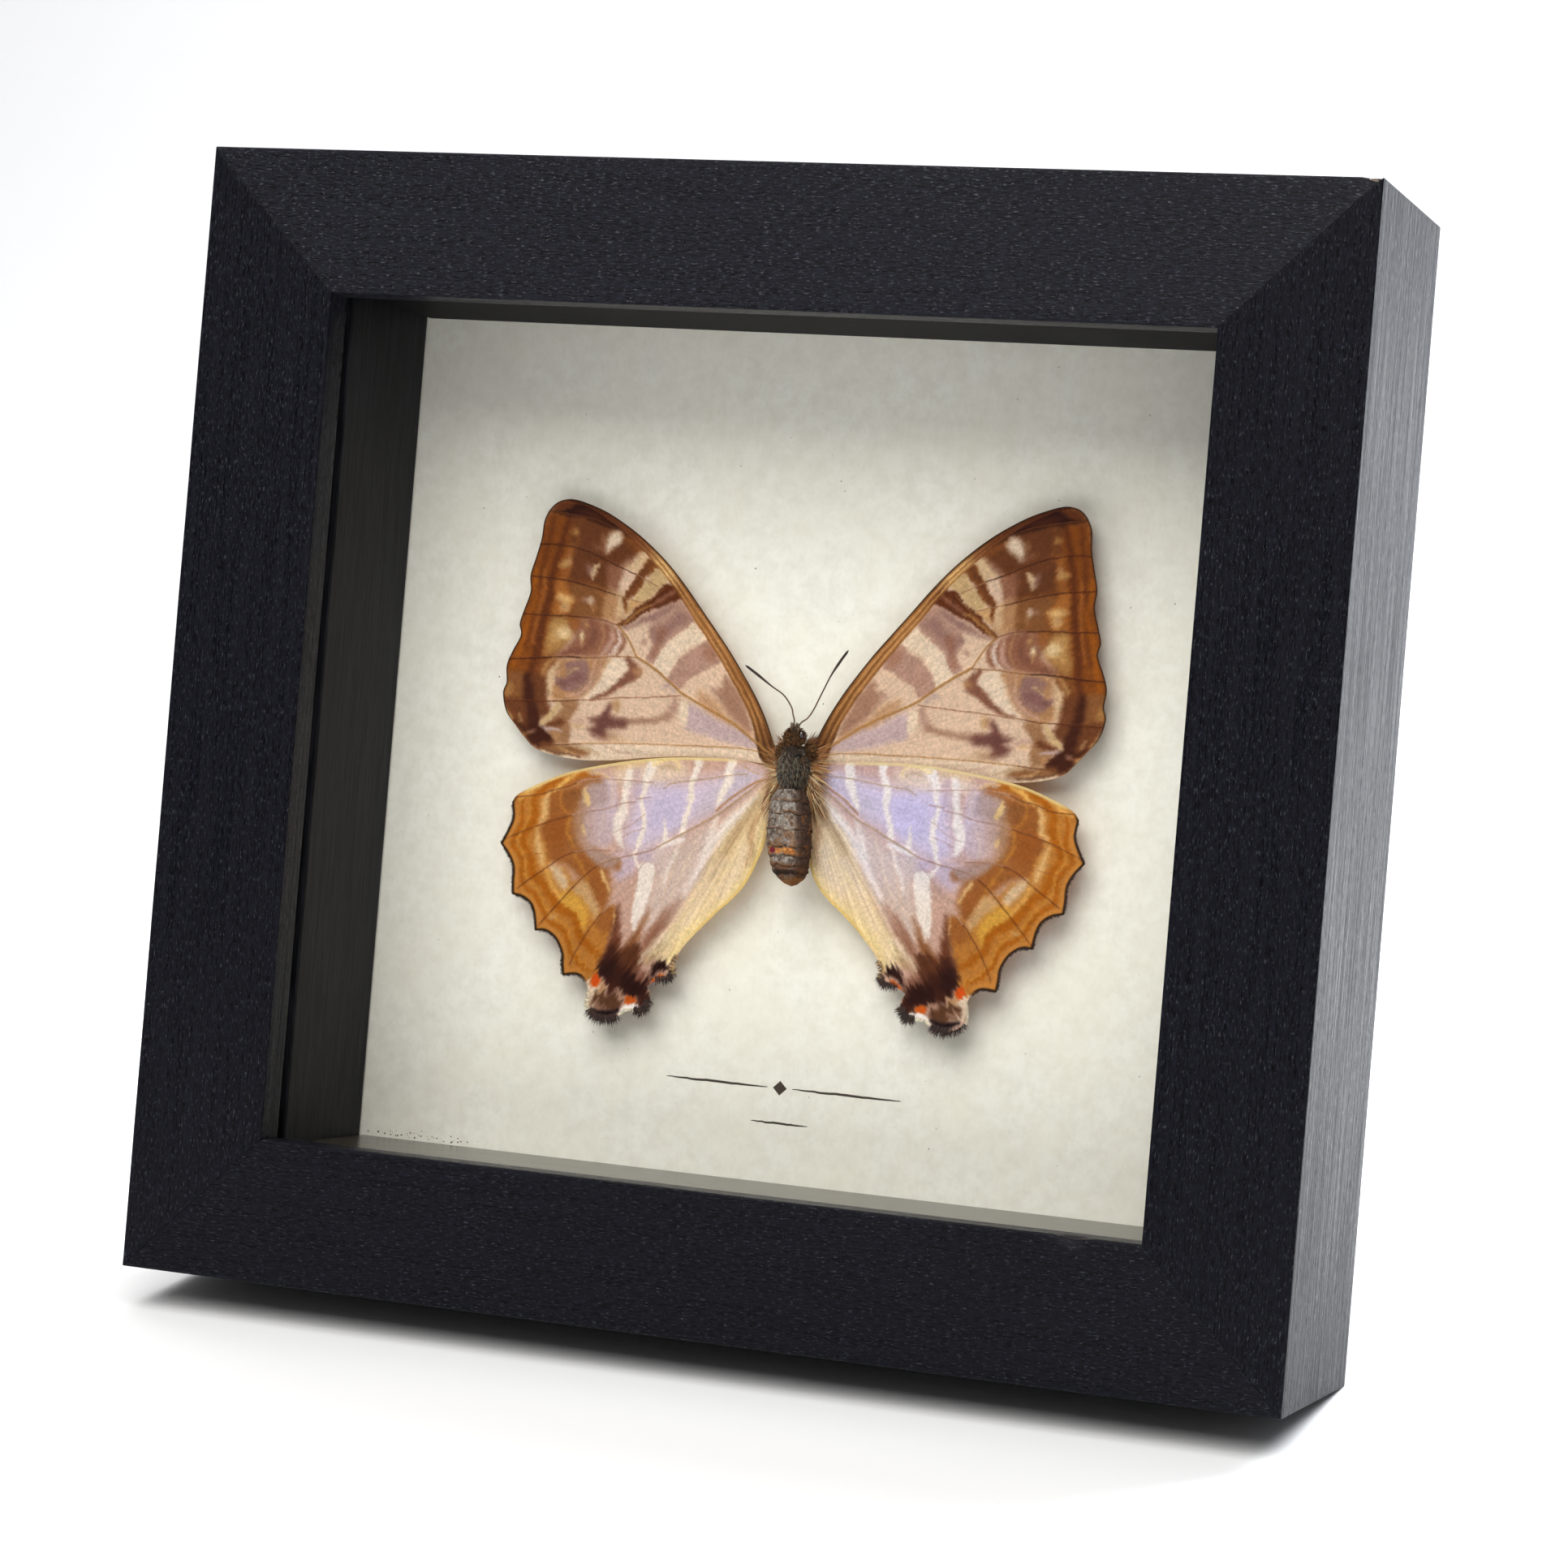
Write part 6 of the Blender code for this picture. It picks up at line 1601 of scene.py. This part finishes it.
def dress_nodes():
    """Materials for the CAD nodes that no finer piece replaces."""
    black, worn = (10, 11, 14), (42, 42, 47)
    upright = spacer_wood("spacer_upright", black, worn, (1300, 1300, 90))
    # The top spacer faces down: a darker copy of the spacer wood, painted shade.
    across = spacer_wood("spacer_top_shaded", (7, 7, 9), (32, 32, 35), (90, 1300, 1300), 0.08, (0.5, 0.8))
    # The bottom spacer faces up: a lighter, warmer copy of the spacer wood, painted light, and glossier.
    brown, tan = (30, 27, 24), (92, 84, 74)
    polished_lit_spacer = spacer_wood("spacer_bottom_polished_lit", brown, tan, (60, 1500, 1500), 0.6, (0.16, 0.3))
    metal = steel("steel", (150, 148, 144), (104, 96, 86))
    shades = {
        "spacer_left": upright,
        "spacer_right": upright,
        "spacer_top": across,
        "spacer_bottom": polished_lit_spacer,
        "glass_pane": glass("glass"),
        "backing_paper": paper("backing_paper", (248, 244, 234), (226, 220, 206), (243, 236, 220)),
        "mount_board": plain_board("mount_board", (190, 182, 164), (158, 148, 128), 1500.0),
        "back_panel": plain_board("back_panel", (120, 90, 62), (88, 64, 44), 1800.0, stretch=(1, 1, 3)),
        "mount_pad": plain_board("foam", (222, 220, 212), (196, 192, 182), 3500.0, 0.8),
        "sawtooth_hanger": metal,
        "hanger_nail_1": metal,
        "hanger_nail_2": metal,
    }
    for side in ("left", "right", "bottom", "top"):
        for number in (1, 2):
            shades[f"back_point_{side}_{number}"] = metal
    for node, material in shades.items():
        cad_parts[node].data.materials.clear()
        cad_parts[node].data.materials.append(material)


def make_specks():
    """Dust and crumbs on the paper: small irregular cones, darker or paler."""
    random = np.random.RandomState(17)
    spots = [
        (-39.9, 31.5, 0.13), (-44.6, 33.5, 0.08), (-9.6, 25.5, 0.12), (2.4, 36.8, 0.1), (14.0, -29.0, 0.1)
    ]
    for _ in range(90):
        spots.append((random.uniform(-59, 59), random.uniform(-55, 55), random.uniform(0.04, 0.11)))
    for _ in range(40):
        x, above_ledge = random.normal(-52, 5), abs(random.normal(0, 0.5))
        spots.append((x, above_ledge - 57.6, random.uniform(0.05, 0.16)))
    points, faces, tones = [], [], []
    sides = 7
    for x, z, size in spots:
        first = len(points)
        shade = random.choice((0.25, 0.35, 0.6, 0.75))
        for step in range(sides):
            angle = 2 * np.pi * step / sides
            reach = size * random.uniform(0.6, 1.2)
            points.append(at(x + reach * math.cos(angle), z + reach * math.sin(angle), SPECK_DEPTH))
        points.append(at(x, z, SPECK_DEPTH - size * 0.7))
        faces += [(first + step, first + (step + 1) % sides, first + sides) for step in range(sides)]
        tones += [np.array((150, 128, 100)) * shade * 1.4] * (sides + 1)
    dust = painted("dust", 0.9, 0.2, 9000.0, bump=0.0)
    add_mesh("paper_specks", points, faces, dust, colours=tones, smooth=False)


def make_ornament():
    """A plain printed ornament where a label would be: a lozenge between two rules, and one below."""
    points, faces = [], []
    noise = Noise(19)

    def rule(x0, x1, z, thick):
        """A printed line that swells towards its middle and wanders a little."""
        share = np.linspace(0, 1, 60)
        swell = thick * (0.25 + 0.75 * np.sin(share * np.pi) ** 0.7)
        wander = 0.05 * noise(np.stack([share * 20, share * 0], 1), 1.0)
        for step, (s, half) in enumerate(zip(share, swell)):
            x = x0 + (x1 - x0) * s
            first = len(points)
            points.append(at(x, z + half / 2 + wander[step], PRINT_DEPTH))
            points.append(at(x, z - half / 2 + wander[step], PRINT_DEPTH))
            if step:
                faces.append((first - 2, first, first + 1, first - 1))

    rule(-16.4, -1.6, -45.0, 0.34)
    rule(2.0, 17.6, -45.0, 0.34)
    rule(-3.6, 4.6, -49.8, 0.30)
    first = len(points)
    for x, z in ((0.2, -44.0), (1.2, -45.0), (0.2, -46.0), (-0.8, -45.0)):
        points.append(at(x, z, PRINT_DEPTH))
    faces.append((first, first + 1, first + 2, first + 3))
    ink = painted("ornament_ink", 0.8, 0.25, 6000.0, bump=0.0)
    tones = [np.array((72, 62, 54))] * len(points)
    add_mesh("label_ornament", points, faces, ink, colours=tones)


# ---------------------------------------------------------------- studio


def make_floor():
    """A pale seamless sweep that falls away in front, so that the frame seems to lean back."""
    heel = RAIL_HIGH.y
    profile = [(y, (y - heel) * FLOOR_FALL) for y in (FLOOR_FRONT, FLOOR_NEAR)]
    profile += [(heel, 0.0), (FLOOR_BACK, 0.0)]
    for angle in np.linspace(0.08, math.pi / 2, 24):
        y = FLOOR_BACK + SWEEP_RADIUS * math.sin(angle)
        profile.append((y, SWEEP_RADIUS * (1 - math.cos(angle))))
    profile.append((FLOOR_BACK + SWEEP_RADIUS, SWEEP_TOP))
    points = [(x, y, z) for y, z in profile for x in (-FLOOR_SIDE, FLOOR_SIDE)]
    faces = grid_faces(len(profile), 2)
    mesh = bpy.data.meshes.new("floor")
    mesh.from_pydata(points, [], [tuple(int(i) for i in f) for f in faces])
    mesh.polygons.foreach_set("use_smooth", [True] * len(mesh.polygons))
    m = Material("floor", roughness=0.75, Specular_IOR_Level=0.2)
    tone = m.noise(m.place(), 3.0, 2.0)
    mesh.materials.append(m.finish(m.blend(tone, (243, 243, 244), (240, 240, 241))))
    floor = new_object("floor", mesh)


def make_camera():
    """The camera at the photo's angle."""
    right, up = Vector(CAMERA_RIGHT).normalized(), Vector(CAMERA_UP)
    back = right.cross(up).normalized()
    up = back.cross(right)
    data = bpy.data.cameras.new("camera")
    data.lens = CAMERA_LENS
    data.sensor_width = SENSOR_WIDTH
    data.clip_start = 0.01
    camera = new_object("camera", data)
    camera.matrix_world = Matrix.Translation(CAMERA_AT) @ Matrix((right, up, back)).transposed().to_4x4()
    bpy.context.scene.camera = camera


def add_lamp(name, spot, target, size, power, colour=(1, 1, 1)):
    """A soft rectangular lamp at a spot, turned towards a target."""
    data = bpy.data.lights.new(name, "AREA")
    data.shape = "RECTANGLE"
    data.size, data.size_y = size
    data.energy = power
    data.color = colour
    lamp = new_object(name, data)
    lamp.location = spot
    lamp.rotation_euler = (Vector(target) - Vector(spot)).to_track_quat("-Z", "Y").to_euler()


def light_studio():
    """Six lamps and a white room; the camera sees the room brighter than it shines."""
    middle = (0, 0, MIDDLE_Z)
    add_lamp("key", (-0.09, -1.0, 0.86), middle, (1.0, 0.85), 14.0, (1.0, 0.99, 0.96))
    add_lamp("front", (0.5, -1.7, 0.3), middle, (1.2, 1.2), 2.2)
    add_lamp("edge", (0.62, 1.25, 0.22), middle, (0.5, 1.1), 1.45, (0.68, 0.8, 1.0))
    add_lamp("overhead", (0.1, -0.55, 1.4), (0.1, -0.45, 0.0), (1.4, 0.8), 9.0)
    add_lamp("back_floor", (0.5, 0.9, 0.9), (0.35, 0.6, 0), (0.6, 0.6), 22.0, (0.92, 0.95, 1.0))
    add_lamp("backdrop", (-0.35, 0.5, 1.8), (-0.35, 1.3, 0.3), (2.0, 0.6), 21.0)
    world = bpy.data.worlds.new("studio")
    world.use_nodes = True
    tree = world.node_tree
    glow = tree.nodes["Background"]
    glow.inputs["Strength"].default_value = ROOM_GLOW
    white = tree.nodes.new("ShaderNodeBackground")
    white.inputs["Strength"].default_value = BACKDROP_GLOW
    for background in (glow, white):
        background.inputs["Color"].default_value = (1, 1, 1, 1)
    seen = tree.nodes.new("ShaderNodeLightPath").outputs["Is Camera Ray"]
    mix_shaders(tree, seen, glow.outputs[0], white.outputs[0], "World Output")
    bpy.context.scene.world = world
    bpy.context.scene.view_settings.view_transform = "Standard"


make_camera()
make_floor()
light_studio()
make_frame()
make_splinters()
dress_nodes()
make_wings()
make_tail_fringes()
make_body()
make_specks()
make_ornament()
